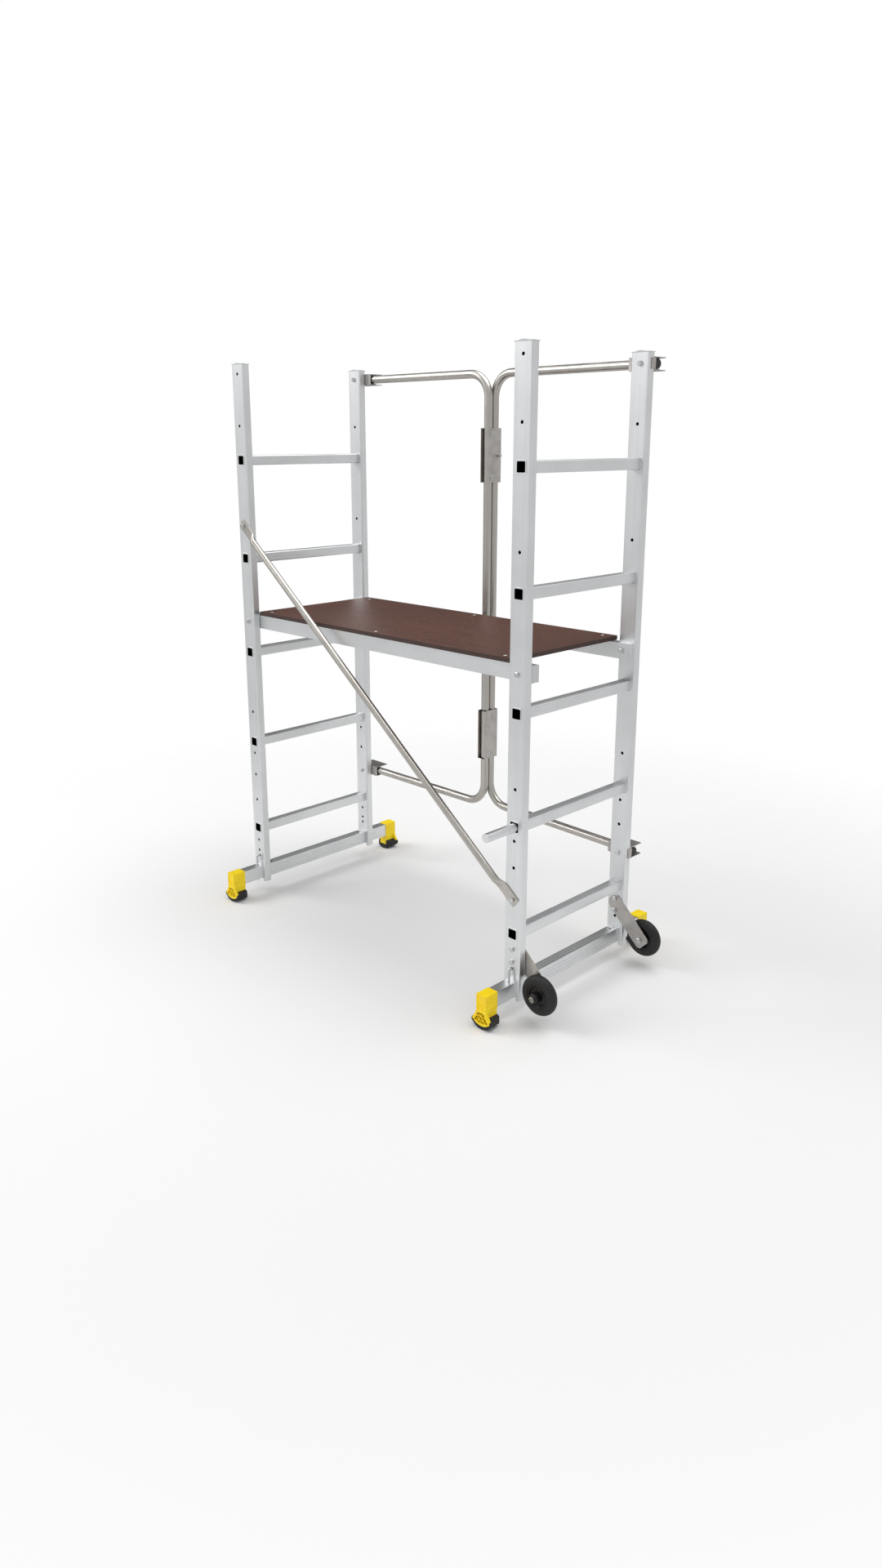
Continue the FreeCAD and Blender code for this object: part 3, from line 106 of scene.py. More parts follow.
def extrudedAluminium(name, axis):
    # 6060 aluminium as it leaves the die: die lines run along the section and give a
    # satin sheen that is streaked one way, with a few handling marks
    material, tree, surface, place = newMaterial(name, "#E1E3E4", 1.0, 0.36)
    scale = [420, 420, 420]                       # die lines 2 to 3 mm apart
    scale[axis] = 1.2
    lines = addNode(tree, "ShaderNodeTexNoise", {"Scale": 1, "Detail": 3, "Roughness": 0.6},
                    {"Vector": stretched(tree, place, scale)})
    cloud = addNode(tree, "ShaderNodeTexNoise", {"Scale": 9, "Detail": 4, "Roughness": 0.55},
                    {"Vector": place})            # patches about 110 mm across
    tint = addNode(tree, "ShaderNodeMix", {"data_type": "RGBA", "blend_type": "MULTIPLY", 0: 1.0})
    tree.links.new(ramp(tree, lines.outputs["Fac"], [(0.3, hexColour("#E0E2E3")),
                                                     (0.7, hexColour("#E6E8E9"))]), tint.inputs[6])
    tree.links.new(ramp(tree, cloud.outputs["Fac"], [(0.3, grey(0.93)), (0.65, grey(1.0))]),
                   tint.inputs[7])
    tree.links.new(tint.outputs[2], surface.inputs["Base Color"])
    rough = addNode(tree, "ShaderNodeMapRange", {"From Min": 0.3, "From Max": 0.7, "To Min": 0.34,
                                                 "To Max": 0.42}, {"Value": lines.outputs["Fac"]})
    tree.links.new(rough.outputs[0], surface.inputs["Roughness"])
    bump = addNode(tree, "ShaderNodeBump", {"Strength": 0.04, "Distance": 0.0002},
                   {"Height": lines.outputs["Fac"]})
    tree.links.new(bump.outputs["Normal"], surface.inputs["Normal"])
    return material


def galvanisedSteel(name, colour, dark, roughness, grainStrength=0.01):
    # electro-galvanised steel: an even warm grey, with faint blotches where the zinc took
    # differently; drawn tube is smooth, so its grain has no strength
    material, tree, surface, place = newMaterial(name, colour, 1.0, roughness)
    cloud = addNode(tree, "ShaderNodeTexNoise", {"Scale": 28, "Detail": 5, "Roughness": 0.6},
                    {"Vector": place})            # blotches 35 mm
    colours = ramp(tree, cloud.outputs["Fac"], [(0.32, hexColour(dark)), (0.62, hexColour(colour))])
    tree.links.new(colours, surface.inputs["Base Color"])
    rough = addNode(tree, "ShaderNodeMapRange",
                    {"From Min": 0.3, "From Max": 0.7, "To Min": roughness - 0.06,
                     "To Max": roughness + 0.1}, {"Value": cloud.outputs["Fac"]})
    tree.links.new(rough.outputs[0], surface.inputs["Roughness"])
    if grainStrength:
        grain = addNode(tree, "ShaderNodeTexNoise", {"Scale": 650, "Detail": 2}, {"Vector": place})
        bump = addNode(tree, "ShaderNodeBump", {"Strength": grainStrength, "Distance": 0.0002},
                       {"Height": grain.outputs["Fac"]})
        tree.links.new(bump.outputs["Normal"], surface.inputs["Normal"])
    return material


def mouldedPlastic(name, colour, dark, roughness, grainSize, depth, settings=None):
    # injection-moulded: one colour through, a fine spark-eroded grain that softens the gloss
    material, tree, surface, place = newMaterial(name, colour, 0.0, roughness, settings)
    grain = addNode(tree, "ShaderNodeTexNoise",
                    {"Scale": 1 / grainSize, "Detail": 3, "Roughness": 0.65}, {"Vector": place})
    cloud = addNode(tree, "ShaderNodeTexNoise", {"Scale": 40, "Detail": 3}, {"Vector": place})
    colours = ramp(tree, cloud.outputs["Fac"], [(0.3, hexColour(dark)), (0.6, hexColour(colour))])
    tree.links.new(colours, surface.inputs["Base Color"])
    rough = addNode(tree, "ShaderNodeMapRange",
                    {"From Min": 0.3, "From Max": 0.7, "To Min": roughness - 0.05,
                     "To Max": roughness + 0.08}, {"Value": grain.outputs["Fac"]})
    tree.links.new(rough.outputs[0], surface.inputs["Roughness"])
    bump = addNode(tree, "ShaderNodeBump", {"Strength": 0.25, "Distance": depth},
                   {"Height": grain.outputs["Fac"]})
    tree.links.new(bump.outputs["Normal"], surface.inputs["Normal"])
    return material


def filmFace():
    # birch plywood faced with brown phenolic film: the film takes the veneer's grain, which
    # runs along the deck, and a slight mottle from the press
    material, tree, surface, place = newMaterial("phenolicFilmPressed", "#5A3A30", 0.0, 0.42,
                                                 {"IOR": 1.55, "Specular IOR Level": 0.35})
    grain = addNode(tree, "ShaderNodeTexNoise", {"Scale": 1, "Detail": 6, "Roughness": 0.6},
                    {"Vector": stretched(tree, place, (7, 190, 190))})      # grain lines 5 mm apart
    mottle = addNode(tree, "ShaderNodeTexNoise", {"Scale": 55, "Detail": 4, "Roughness": 0.7},
                     {"Vector": place})                                     # press marks 18 mm
    both = addNode(tree, "ShaderNodeMix", {"data_type": "FLOAT", 0: 0.45})
    tree.links.new(grain.outputs["Fac"], both.inputs[2])
    tree.links.new(mottle.outputs["Fac"], both.inputs[3])
    colours = ramp(tree, both.outputs[0], [(0.3, hexColour("#42271F")), (0.5, hexColour("#54342A")),
                                           (0.72, hexColour("#624033"))])
    tree.links.new(colours, surface.inputs["Base Color"])
    rough = addNode(tree, "ShaderNodeMapRange", {"From Min": 0.3, "From Max": 0.7, "To Min": 0.36,
                                                 "To Max": 0.52}, {"Value": mottle.outputs["Fac"]})
    tree.links.new(rough.outputs[0], surface.inputs["Roughness"])
    bump = addNode(tree, "ShaderNodeBump", {"Strength": 0.3, "Distance": 0.0004},
                   {"Height": both.outputs[0]})
    tree.links.new(bump.outputs["Normal"], surface.inputs["Normal"])
    return material


def plyEdge():
    # the sawn edge, sealed with brown paint that lets the nine veneers show as fine bands
    material, tree, surface, place = newMaterial("sealedPlywoodEdge", "#3E2620", 0.0, 0.6)
    apart = addNode(tree, "ShaderNodeSeparateXYZ", links={"Vector": place})
    band = addNode(tree, "ShaderNodeMath", {"operation": "MULTIPLY", 1: 2 * math.pi / 0.0027},
                   {0: apart.outputs["Z"]})                 # 2.7 mm to a pair of veneers
    wave = addNode(tree, "ShaderNodeMath", {"operation": "SINE"}, {0: band.outputs[0]})
    fibres = addNode(tree, "ShaderNodeTexNoise", {"Scale": 260, "Detail": 4}, {"Vector": place})
    mixed = addNode(tree, "ShaderNodeMath", {"operation": "MULTIPLY_ADD", 1: 0.16},
                    {0: wave.outputs[0], 2: fibres.outputs["Fac"]})
    colours = ramp(tree, mixed.outputs[0], [(0.2, hexColour("#2F1D17")),
                                            (0.8, hexColour("#47302A"))])
    tree.links.new(colours, surface.inputs["Base Color"])
    bump = addNode(tree, "ShaderNodeBump", {"Strength": 0.3, "Distance": 0.0004},
                   {"Height": mixed.outputs[0]})
    tree.links.new(bump.outputs["Normal"], surface.inputs["Normal"])
    return material


finishes = {
    "stile": extrudedAluminium("extrudedAluminiumUpright", 2),
    "rung": extrudedAluminium("extrudedAluminiumDeep", 1),
    "rail": extrudedAluminium("extrudedAluminiumLong", 0),
    # the near-black inner walls are painted shade: the darkness inside the hollow sections is put
    # into their colour
    "inside": galvanisedSteel("paintedShadeInsideAluminium", "#1A1B1C", "#121314", 0.6),
    "tube": galvanisedSteel("galvanisedSteelTube", "#BEBAB4", "#B9B5AF", 0.32, 0),
    "sheet": galvanisedSteel("galvanisedSteelSheet", "#C2BEBA", "#ACA8A4", 0.40),
    "zinc": galvanisedSteel("brightZincPlate", "#D2D3D3", "#BFC0C1", 0.26),
    # the deck screws are zinc-plated steel; their near-white, mostly matt finish is a painted
    # highlight standing in for the glint on their domed heads
    "screw": mouldedPlastic("paintedHighlightScrewHead", "#F4F4F1", "#E9E9E6", 0.35, 0.0012,
                            0.00004),
    "cap": mouldedPlastic("mouldedPolyamideGrey", "#C9CBCC", "#C2C4C6", 0.42, 0.0012, 0.0001),
    "boot": mouldedPlastic("mouldedPolypropyleneYellow", "#FFE200", "#FCD400", 0.44, 0.0012,
                           0.00012),
    "sole": mouldedPlastic("mouldedRubberSole", "#202021", "#19191A", 0.68, 0.0016, 0.0003),
    "tyre": mouldedPlastic("solidRubberTyre", "#101011", "#0C0C0D", 0.58, 0.0020, 0.0003),
    "hub": mouldedPlastic("mouldedPolypropyleneBlack", "#0D0D0E", "#09090A", 0.42, 0.0012, 0.00012),
    "plug": mouldedPlastic("mouldedPolyethyleneBlack", "#141415", "#0F0F10", 0.42, 0.0012, 0.00012),
    "deck": filmFace(),
    "deckEdge": plyEdge(),
}
print("materials made")

nodeFinish = [
    ("stile_caps", "cap"), ("rail_caps", "cap"), ("stile_", "stile"), ("rung_peg", "rung"),
    ("rung_", "rung"), ("crossbar_pins", "zinc"), ("crossbar_", "rung"), ("foot_boot", "boot"),
    ("foot_sole", "sole"), ("platform_deck", "deck"), ("platform_rail", "rail"),
    ("diagonal_brace", "tube"), ("guard_left_tube", "tube"), ("guard_right_tube", "tube"),
    ("guard_left_plugs", "plug"), ("guard_right_plugs", "plug"), ("guard_clips", "plug"),
    ("guard_bracket_bolts", "zinc"), ("guard_bracket", "sheet"), ("hinge_channel", "sheet"),
    ("wheel_bracket_bolts", "zinc"), ("wheel_bracket", "sheet"), ("wheel_tyre", "tyre"),
    ("wheel_hub", "hub"), ("", "zinc"),
]


def finishFor(nodeName):
    return next(finish for start, finish in nodeFinish if nodeName.startswith(start))


# shared modelling steps

def selectOnly(piece):
    bpy.ops.object.select_all(action="DESELECT")
    piece.select_set(True)
    bpy.context.view_layer.objects.active = piece


def applyModifier(piece, kind, settings):
    selectOnly(piece)
    modifier = piece.modifiers.new(kind.title(), kind)
    for key, value in settings.items():
        setattr(modifier, key, value)
    bpy.ops.object.modifier_apply(modifier=modifier.name)


def smooth(piece, angle=35):
    selectOnly(piece)
    bpy.ops.object.shade_smooth_by_angle(angle=math.radians(angle))
    return piece


def evenFlats(piece):
    # the flats keep their own normals, so that only the eased edges are rounded by shading
    applyModifier(smooth(piece), "WEIGHTED_NORMAL", {"keep_sharp": True, "weight": 80})
    return piece


rimRoll = {"band": 0.01 * mm, "width": 0.45 * mm, "segments": 3}


def roundRims(piece):
    # the flared mouth of a rung is rolled over, so its rim catches the light
    reach = max(v.co.y for v in piece.data.vertices)
    startEdit(piece, "EDGE")
    chooseEdges(piece, lambda middle, along: abs(middle.y) > reach - rimRoll["band"])
    bpy.ops.mesh.bevel(offset=rimRoll["width"], segments=rimRoll["segments"], affect="EDGES",
                       clamp_overlap=True)
    endEdit()


easing = {"merge": 0.002 * mm, "flatWithin": 0.4, "segments": 2, "sharpFrom": 30}    # degrees


def mergedCopy(nodeName, bevelWidth, rims=False):
    # the CAD solid with its edges eased, as sawn and tumbled metal or moulded plastic has them
    source = frame["nodes"][nodeName]
    piece = bpy.data.objects.new(nodeName + "_finished", source.data.copy())
    bpy.context.scene.collection.objects.link(piece)
    selectOnly(piece)
    bpy.ops.object.mode_set(mode="EDIT")
    bpy.ops.mesh.select_all(action="SELECT")
    bpy.ops.mesh.remove_doubles(threshold=easing["merge"])
    bpy.ops.mesh.dissolve_limited(angle_limit=math.radians(easing["flatWithin"]))
    bpy.ops.mesh.customdata_custom_splitnormals_clear()
    bpy.ops.object.mode_set(mode="OBJECT")
    if rims:
        roundRims(piece)
    if bevelWidth:
        applyModifier(piece, "BEVEL", {"width": bevelWidth, "segments": easing["segments"],
                                       "limit_method": "ANGLE",
                                       "angle_limit": math.radians(easing["sharpFrom"])})
    return evenFlats(piece) if bevelWidth else smooth(piece)


nodeBody = {name: body for body, members in frame["record"]["behaviour"]["bodies"].items()
            for name in members}


def standFor(piece, finish, *nodeNames):
    # the finished piece takes the place and the body of its CAD nodes, with the given finish
    if finish:
        piece.data.materials.clear()
        piece.data.materials.append(finishes[finish])
    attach(piece, nodeBody[nodeNames[0]])
    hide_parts(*nodeNames)


def joined(pieces, name):
    selectOnly(pieces[0])
    for piece in pieces[1:]:
        piece.select_set(True)
    if len(pieces) > 1:
        bpy.ops.object.join()
    pieces[0].name = name
    return pieces[0]


def bakePlace(piece):
    # leaves the object at the origin with its place in its mesh
    selectOnly(piece)
    bpy.ops.object.transform_apply(location=True, rotation=True, scale=True)
    return piece


def startEdit(piece, mode="FACE"):
    selectOnly(piece)
    bpy.ops.object.mode_set(mode="EDIT")
    bpy.ops.mesh.select_mode(type=mode)
    bpy.ops.mesh.select_all(action="DESELECT")


def chooseFaces(piece, test):
    shape = bmesh.from_edit_mesh(piece.data)
    for face in shape.faces:
        face.select_set(bool(test(face.calc_center_median(), face.normal)))
    bmesh.update_edit_mesh(piece.data)


def chooseEdges(piece, test):
    shape = bmesh.from_edit_mesh(piece.data)
    for edge in shape.edges:
        first, second = edge.verts[0].co, edge.verts[1].co
        edge.select_set(bool(test((first + second) / 2, (second - first).normalized())))
    bmesh.update_edit_mesh(piece.data)


def endEdit():
    bpy.ops.object.mode_set(mode="OBJECT")


turnFor = {"y": (-math.pi / 2, 0, 0), "z": (0, 0, 0)}
lathe = {"solidBelow": 1 * mm, "alongWithin": 2e-7, "ringWithin": 1e-6, "merge": 0.001 * mm}


def turned(name, centre, axis, profile, sides=64):
    # a lathe: one ring for each (radius, distance along the axis); a bore closes from last to
    # first, and a solid piece is capped at both ends
    bpy.ops.object.select_all(action="DESELECT")
    radius, start = profile[0]
    bpy.ops.mesh.primitive_circle_add(vertices=sides, radius=radius, location=(0, 0, start))
    piece = bakePlace(bpy.context.object)
    piece.name = name
    startEdit(piece, "EDGE")
    bpy.ops.mesh.select_all(action="SELECT")
    for (r0, z0), (r1, z1) in zip(profile, profile[1:]):
        bpy.ops.mesh.extrude_edges_move(TRANSFORM_OT_translate={"value": (0, 0, z1 - z0)})
        bpy.ops.transform.resize(value=(r1 / r0, r1 / r0, 1), center_override=(0, 0, z1))
    ends = (profile[0], profile[-1])

    def atEnd(middle, end):
        away = middle.xy.length - end[0] * math.cos(math.pi / sides)
        return abs(middle.z - end[1]) < lathe["alongWithin"] and abs(away) < lathe["ringWithin"]

    if radius < lathe["solidBelow"]:
        for end in ends:
            chooseEdges(piece, lambda middle, along: atEnd(middle, end))
            bpy.ops.mesh.edge_face_add()
    else:
        chooseEdges(piece, lambda middle, along: any(atEnd(middle, end) for end in ends))
        bpy.ops.mesh.bridge_edge_loops()
    bpy.ops.mesh.select_all(action="SELECT")
    bpy.ops.mesh.remove_doubles(threshold=lathe["merge"])
    bpy.ops.mesh.normals_make_consistent(inside=False)
    endEdit()
    piece.rotation_euler = turnFor[axis]
    piece.location = centre
    return smooth(bakePlace(piece), 32)


# eased copies of the sections, plates and mouldings

easedEdges = {                      # width of the eased edge in mm
    "crossbar_left": 0.7, "crossbar_right": 0.7, "platform_rail_front": 1.0,
    "platform_rail_rear": 1.0, "rail_caps": 0.5, "stile_caps": 0.5, "guard_clips": 0.3,
    "hinge_channel_upper": 0.35, "hinge_channel_lower": 0.35,
    "wheel_bracket_front": 0.5, "wheel_bracket_rear": 0.5,
}
for start, width in (("foot_boot", 0.45), ("foot_sole", 0.5), ("guard_bracket_left", 0.4),
                     ("guard_bracket_right", 0.4), ("rung_left", 0.15), ("rung_right", 0.15),
                     ("stile_left", 0.2), ("stile_right", 0.2)):
    easedEdges.update({name: width for name in frame["nodes"] if name.startswith(start)})
easedEdges.update({"guard_left_plugs": 0.6, "guard_right_plugs": 0.6, "hinge_rivets": 0.25,
                   "lock_bush": 0.25, "lock_plunger": 0.3, "rung_peg": 0.6,
                   "crossbar_pins": 0})             # the pins are round wire: nothing to ease

# start of the node's name, axis, and half the outer size across or None for the whole box
hollowSections = [
    ("stile_left", 2, None), ("stile_right", 2, None), ("rung_left", 1, 15 * mm),
    ("rung_right", 1, 15 * mm), ("crossbar_left", 1, None), ("crossbar_right", 1, None),
    ("platform_rail", 0, None),
]
thinnestWall = 1.2 * mm


def shadeInside(piece, axis, half):
    # the inner walls of a section get little light: they are given a near-black finish, painted
    # shade standing in for the shade that falls inside
    points = [v.co for v in piece.data.vertices]
    low = Vector([min(p[i] for p in points) for i in range(3)])
    high = Vector([max(p[i] for p in points) for i in range(3)])
    across = [i for i in range(3) if i != axis]
    piece.data.materials.append(finishes["inside"])
    for face in piece.data.polygons:
        away = face.center - (low + high) / 2
        deep = all(abs(away[i]) < (half or (high[i] - low[i]) / 2) - thinnestWall for i in across)
        if deep and abs(face.normal[axis]) < 0.3:
            face.material_index = 1


bootPockets = {"top": 62 * mm, "deep": 1.6 * mm,     # height they reach, depth that counts
               "largest": 0.0003}                    # square metres of one pocket's floor


def darkenPockets(piece):
    # the truss of the boot is open towards the black rubber behind it
    ends = [v.co.y for v in piece.data.vertices if v.co.z < bootPockets["top"]]
    piece.data.materials.append(finishes["sole"])
    for face in piece.data.polygons:
        inside = min(face.center.y - min(ends), max(ends) - face.center.y)
        small = face.center.z < bootPockets["top"] and face.area < bootPockets["largest"]
        if small and abs(face.normal.y) > 0.8 and inside > bootPockets["deep"]:
            face.material_index = 1


def easePieces():
    for nodeName, width in easedEdges.items():
        rims = nodeName.startswith(("rung_left", "rung_right"))
        piece = mergedCopy(nodeName, width * mm, rims)
        standFor(piece, finishFor(nodeName), nodeName)
        if nodeName.startswith("foot_boot"):
            darkenPockets(piece)
        for start, axis, half in hollowSections:
            if nodeName.startswith(start):
                shadeInside(piece, axis, half)
        print("eased", nodeName, len(piece.data.polygons))


def nodeSolids(nodeName):
    # the boxes of a node's separate solids
    piece = mergedCopy(nodeName, 0)
    selectOnly(piece)
    bpy.ops.mesh.separate(type="LOOSE")
    boxes = []
    for part in list(bpy.context.selected_objects):
        points = [v.co for v in part.data.vertices]
        boxes.append((Vector([min(p[i] for p in points) for i in range(3)]),
                      Vector([max(p[i] for p in points) for i in range(3)])))
        bpy.data.objects.remove(part)
    return sorted(boxes, key=lambda pair: tuple(round(v, 4) for v in pair[0]))


# platform deck

deckShape = {"easedEdge": 0.8 * mm, "cornerRound": 3 * mm, "aroundScrew": 0.3 * mm,
             "screwDeep": 1.8 * mm, "needle": 0.1 * mm, "cutAbove": 1 * mm}


def makeDeck():
    low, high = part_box("platform_deck")
    size = high - low
    bpy.ops.object.select_all(action="DESELECT")
    bpy.ops.mesh.primitive_cube_add(size=1, location=(low + high) / 2, scale=size)
    deck = bakePlace(bpy.context.object)
    deck.name = "deck_board"
    startEdit(deck, "EDGE")
    chooseEdges(deck, lambda middle, along: abs(along.z) > 0.9)
    bpy.ops.mesh.bevel(offset=deckShape["cornerRound"], segments=4, affect="EDGES")
    chooseEdges(deck, lambda middle, along: abs(along.z) < 0.1 and
                (middle.z > high.z - 1e-5 or middle.z < low.z + 1e-5))
    bpy.ops.mesh.bevel(offset=deckShape["easedEdge"], segments=2, affect="EDGES")
    endEdit()
    for screwLow, screwHigh in nodeSolids("deck_screws"):
        middle = (screwLow + screwHigh) / 2
        wide = (screwHigh.x - screwLow.x) / 2 + deckShape["aroundScrew"]
        floor, over = high.z - deckShape["screwDeep"], high.z + deckShape["cutAbove"]
        needle = deckShape["needle"]
        cutter = turned("recess", (middle.x, middle.y, 0), "z",
                        [(needle, floor), (wide, floor), (wide, over), (needle, over)], 28)
        applyModifier(deck, "BOOLEAN", {"operation": "DIFFERENCE", "object": cutter,
                                        "solver": "EXACT"})
        bpy.data.objects.remove(cutter)
    deck.data.materials.append(finishes["deck"])
    deck.data.materials.append(finishes["deckEdge"])
    for face in deck.data.polygons:
        face.material_index = 0 if abs(face.normal.z) > 0.95 else 1
    standFor(evenFlats(deck), None, "platform_deck")
    print("deck made")


# wheels

tyreShape = [(33, -12), (34, -13.4), (37, -13.9), (44.5, -13.4), (49, -11.8), (52.6, -8.9),
             (54.5, -4.8), (54.95, 0), (54.5, 4.8), (52.6, 8.9), (49, 11.8), (44.5, 13.4),
             (37, 13.9), (34, 13.4), (33, 12)]                      # radius and offset in mm
hubShape = [(6.1, -15.9), (12.6, -15.9), (13.6, -15), (14, -6.8), (15.4, -5), (23.5, -4),
            (25.8, -5.2), (26.7, -7.4), (27, -11), (27.8, -11.9), (29.3, -12), (29.8, -11.2),
            (30.6, -11.2), (31.1, -12), (32.9, -12), (32.9, 12), (31.1, 12), (30.6, 11.2),
            (29.8, 11.2), (29.3, 12), (27.8, 11.9), (27, 11), (26.7, 7.4), (25.8, 5.2), (23.5, 4),
            (15.4, 5), (14, 6.8), (13.4, 26.6), (12.4, 27.9), (6.1, 27.9)]


def makeWheels():
    for end, sign in (("front", -1), ("rear", 1)):
        low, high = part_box("wheel_tyre_" + end)
        centre = (low + high) / 2
        outline = [(r * mm, sign * y * mm) for r, y in tyreShape]
        tyre = turned("tyre_" + end, centre, "y", outline, 96)
        standFor(tyre, "tyre", "wheel_tyre_" + end)
        outline = [(r * mm, sign * y * mm) for r, y in hubShape]
        hub = turned("hub_" + end, centre, "y", outline, 72)
        standFor(hub, "hub", "wheel_hub_" + end)
    print("wheels made")


# bolts, nuts and screws

# shares of the width across flats and, for the last two, of the height
hexShape = {"chamfer": 0.07, "edge": 0.02, "washerFace": 0.49, "cornerDown": 0.1,
            "washerHigh": 0.08}


def hexPrism(name, flats, height):
    # a forged hexagon with its corners turned down, standing on z = 0, with a washer face
    bpy.ops.object.select_all(action="DESELECT")
    bpy.ops.mesh.primitive_cylinder_add(vertices=6, radius=flats / math.sqrt(3), depth=height,
                                        location=(0, 0, height / 2))
    piece = bakePlace(bpy.context.object)
    piece.name = name
    startEdit(piece)
    chooseFaces(piece, lambda at, normal: normal.z > 0.9)
    bpy.ops.mesh.inset(thickness=flats * hexShape["chamfer"])
    chooseEdges(piece, lambda at, along: at.z > height - 1e-6 and
                at.xy.length > flats * 0.46 and abs(along.xy.dot(at.xy)) < 0.1 * flats)
    bpy.ops.transform.translate(value=(0, 0, -height * hexShape["cornerDown"]))
    bpy.ops.mesh.select_all(action="DESELECT")
    chooseEdges(piece, lambda at, along: abs(along.z) > 0.9)
    bpy.ops.mesh.bevel(offset=flats * hexShape["edge"], segments=2, affect="EDGES")
    endEdit()
    inner, outer = flats * hexShape["edge"], flats * hexShape["washerFace"]
    thick = height * hexShape["washerHigh"]
    ring = turned(name + "Face", (0, 0, 0), "z",
                  [(inner, 0), (outer, 0), (outer, thick), (inner, thick)], 32)
    return smooth(joined([piece, ring], name), 25)


def threadedEnd(radius, length):
    # the end of a bolt's thread: ring grooves at its real pitch, about an eighth of its size
    pitch = radius / 4
    profile = [(radius * 0.02, 0)]
    steps = max(int(length / pitch), 1)
    for number in range(steps):
        profile += [(radius * 0.99, number * length / steps),
                    (radius * 0.88, (number + 0.5) * length / steps)]
    profile += [(radius * 0.99, length * 0.97), (radius * 0.8, length), (radius * 0.02, length)]
    return turned("thread", (0, 0, 0), "z", profile, 24)


def placed(piece, centre, direction, name):
    # copies a piece that stands on z = 0 to a place, with its top towards the direction
    turn = Vector(direction).to_track_quat("Z", "X").to_matrix().to_4x4()
    copy = bpy.data.objects.new(name, piece.data.copy())
    bpy.context.scene.collection.objects.link(copy)
    copy.data.transform(Matrix.Translation(centre) @ turn)
    return copy


platformFastener = {"flats": 13 * mm, "head": 5.3 * mm, "nut": 6.5 * mm, "radius": 4 * mm}
axleFastener = {"flats": 15 * mm, "head": 7.5 * mm, "nut": 10 * mm, "radius": 6 * mm}
fastenerFit = {"washerUpTo": 3 * mm, "nutAllowance": 1.5 * mm, "tailLong": 2.2 * mm,
               "tailSunk": 0.7 * mm, "stemShort": 2.4 * mm, "washerBore": 0.3 * mm,
               "washerEdge": 0.4 * mm, "needle": 0.1 * mm, "stemShare": 0.99}


def makeFasteners(nodeName, shape):
    head = hexPrism("boltHead", shape["flats"], shape["head"])
    holder = hexPrism("nutBody", shape["flats"], shape["nut"])
    tail = threadedEnd(shape["radius"], fastenerFit["tailLong"])
    parts = []
    for low, high in nodeSolids(nodeName):
        middle = (low + high) / 2
        long = high.y - low.y
        inwards = -1 if middle.y > 0 else 1
        if long < fastenerFit["washerUpTo"]:
            bore, wide = shape["radius"] + fastenerFit["washerBore"], high.x - middle.x
            narrow = wide - fastenerFit["washerEdge"]
            parts.append(turned("washer", middle, "y", [
                (bore, -long / 2), (narrow, -long / 2), (wide, -long / 4), (wide, long / 4),
                (narrow, long / 2), (bore, long / 2)], 40))
        elif long < shape["nut"] + fastenerFit["nutAllowance"]:
            at = Vector((middle.x, low.y if inwards > 0 else high.y, middle.z))
            parts.append(placed(holder, at, (0, inwards, 0), "nut"))
            end = at + Vector((0, inwards * (shape["nut"] - fastenerFit["tailSunk"]), 0))
            parts.append(placed(tail, end, (0, inwards, 0), "tail"))
        else:
            toFront = nodeName == "guard_bracket_bolts"     # heads forward, full length
            outwards = -1 if toFront else -inwards
            face = high.y - shape["head"] if outwards > 0 else low.y + shape["head"]
            at = Vector((middle.x, face, middle.z))
            parts.append(placed(head, at, (0, outwards, 0), "head"))
            stemLong = long - shape["head"] - (0 if toFront else fastenerFit["stemShort"])
            needle, thick = fastenerFit["needle"], shape["radius"] * fastenerFit["stemShare"]
            stem = turned("stem", (0, 0, 0), "z", [(needle, 0), (thick, 0), (thick, stemLong),
                                                   (needle, stemLong)], 20)
            parts.append(placed(stem, at, (0, -outwards, 0), "stem"))
            bpy.data.objects.remove(stem)
    standFor(smooth(joined(parts, nodeName + "_turned"), 25), "zinc", nodeName)
    for piece in (head, holder, tail):
        bpy.data.objects.remove(piece)
    print("bolts and nuts made:", nodeName)


deckScrew = {"slotDeep": 0.8 * mm, "slotWide": 0.3, "slotLong": 1.15}   # shares of the radius


def makeDeckScrews():
    # countersunk screws, domed a little, with a cross recess
    parts = []
    for low, high in nodeSolids("deck_screws"):
        radius = (high.x - low.x) / 2
        middle = Vector(((low.x + high.x) / 2, (low.y + high.y) / 2, 0))
        top = high.z
        screw = turned("deckScrew", middle, "z", [
            (0.1 * mm, low.z + 0.1 * mm), (radius * 0.42, low.z + 0.2 * mm),
            (radius * 0.42, top - 2.2 * mm), (radius * 0.98, top - 1.3 * mm),
            (radius * 0.98, top - 1.1 * mm), (radius * 0.85, top - 0.55 * mm),
            (radius * 0.6, top - 0.18 * mm), (radius * 0.3, top - 0.02 * mm), (0.1 * mm, top)], 28)
        wide, long = radius * deckScrew["slotWide"], radius * deckScrew["slotLong"]
        for across, along in ((wide, long), (long, wide)):
            bpy.ops.object.select_all(action="DESELECT")
            bpy.ops.mesh.primitive_cube_add(size=1, location=(middle.x, middle.y, top),
                                            scale=(across, along, 2 * deckScrew["slotDeep"]))
            blade = bakePlace(bpy.context.object)
            applyModifier(screw, "BOOLEAN", {"operation": "DIFFERENCE", "object": blade,
                                             "solver": "EXACT"})
            bpy.data.objects.remove(blade)
        parts.append(screw)
    # the heads take the near-white finish, a painted highlight
    standFor(smooth(joined(parts, "deck_screws_turned"), 30), "screw", "deck_screws")
    print("deck screws made")


# guard tubes

guardShape = {"radius": 12.5 * mm, "wall": 1.5 * mm, "bend": 70 * mm, "sides": 40, "steps": 14,
              "slant": math.radians(2.646)}     # the fold line stands behind the clips' line


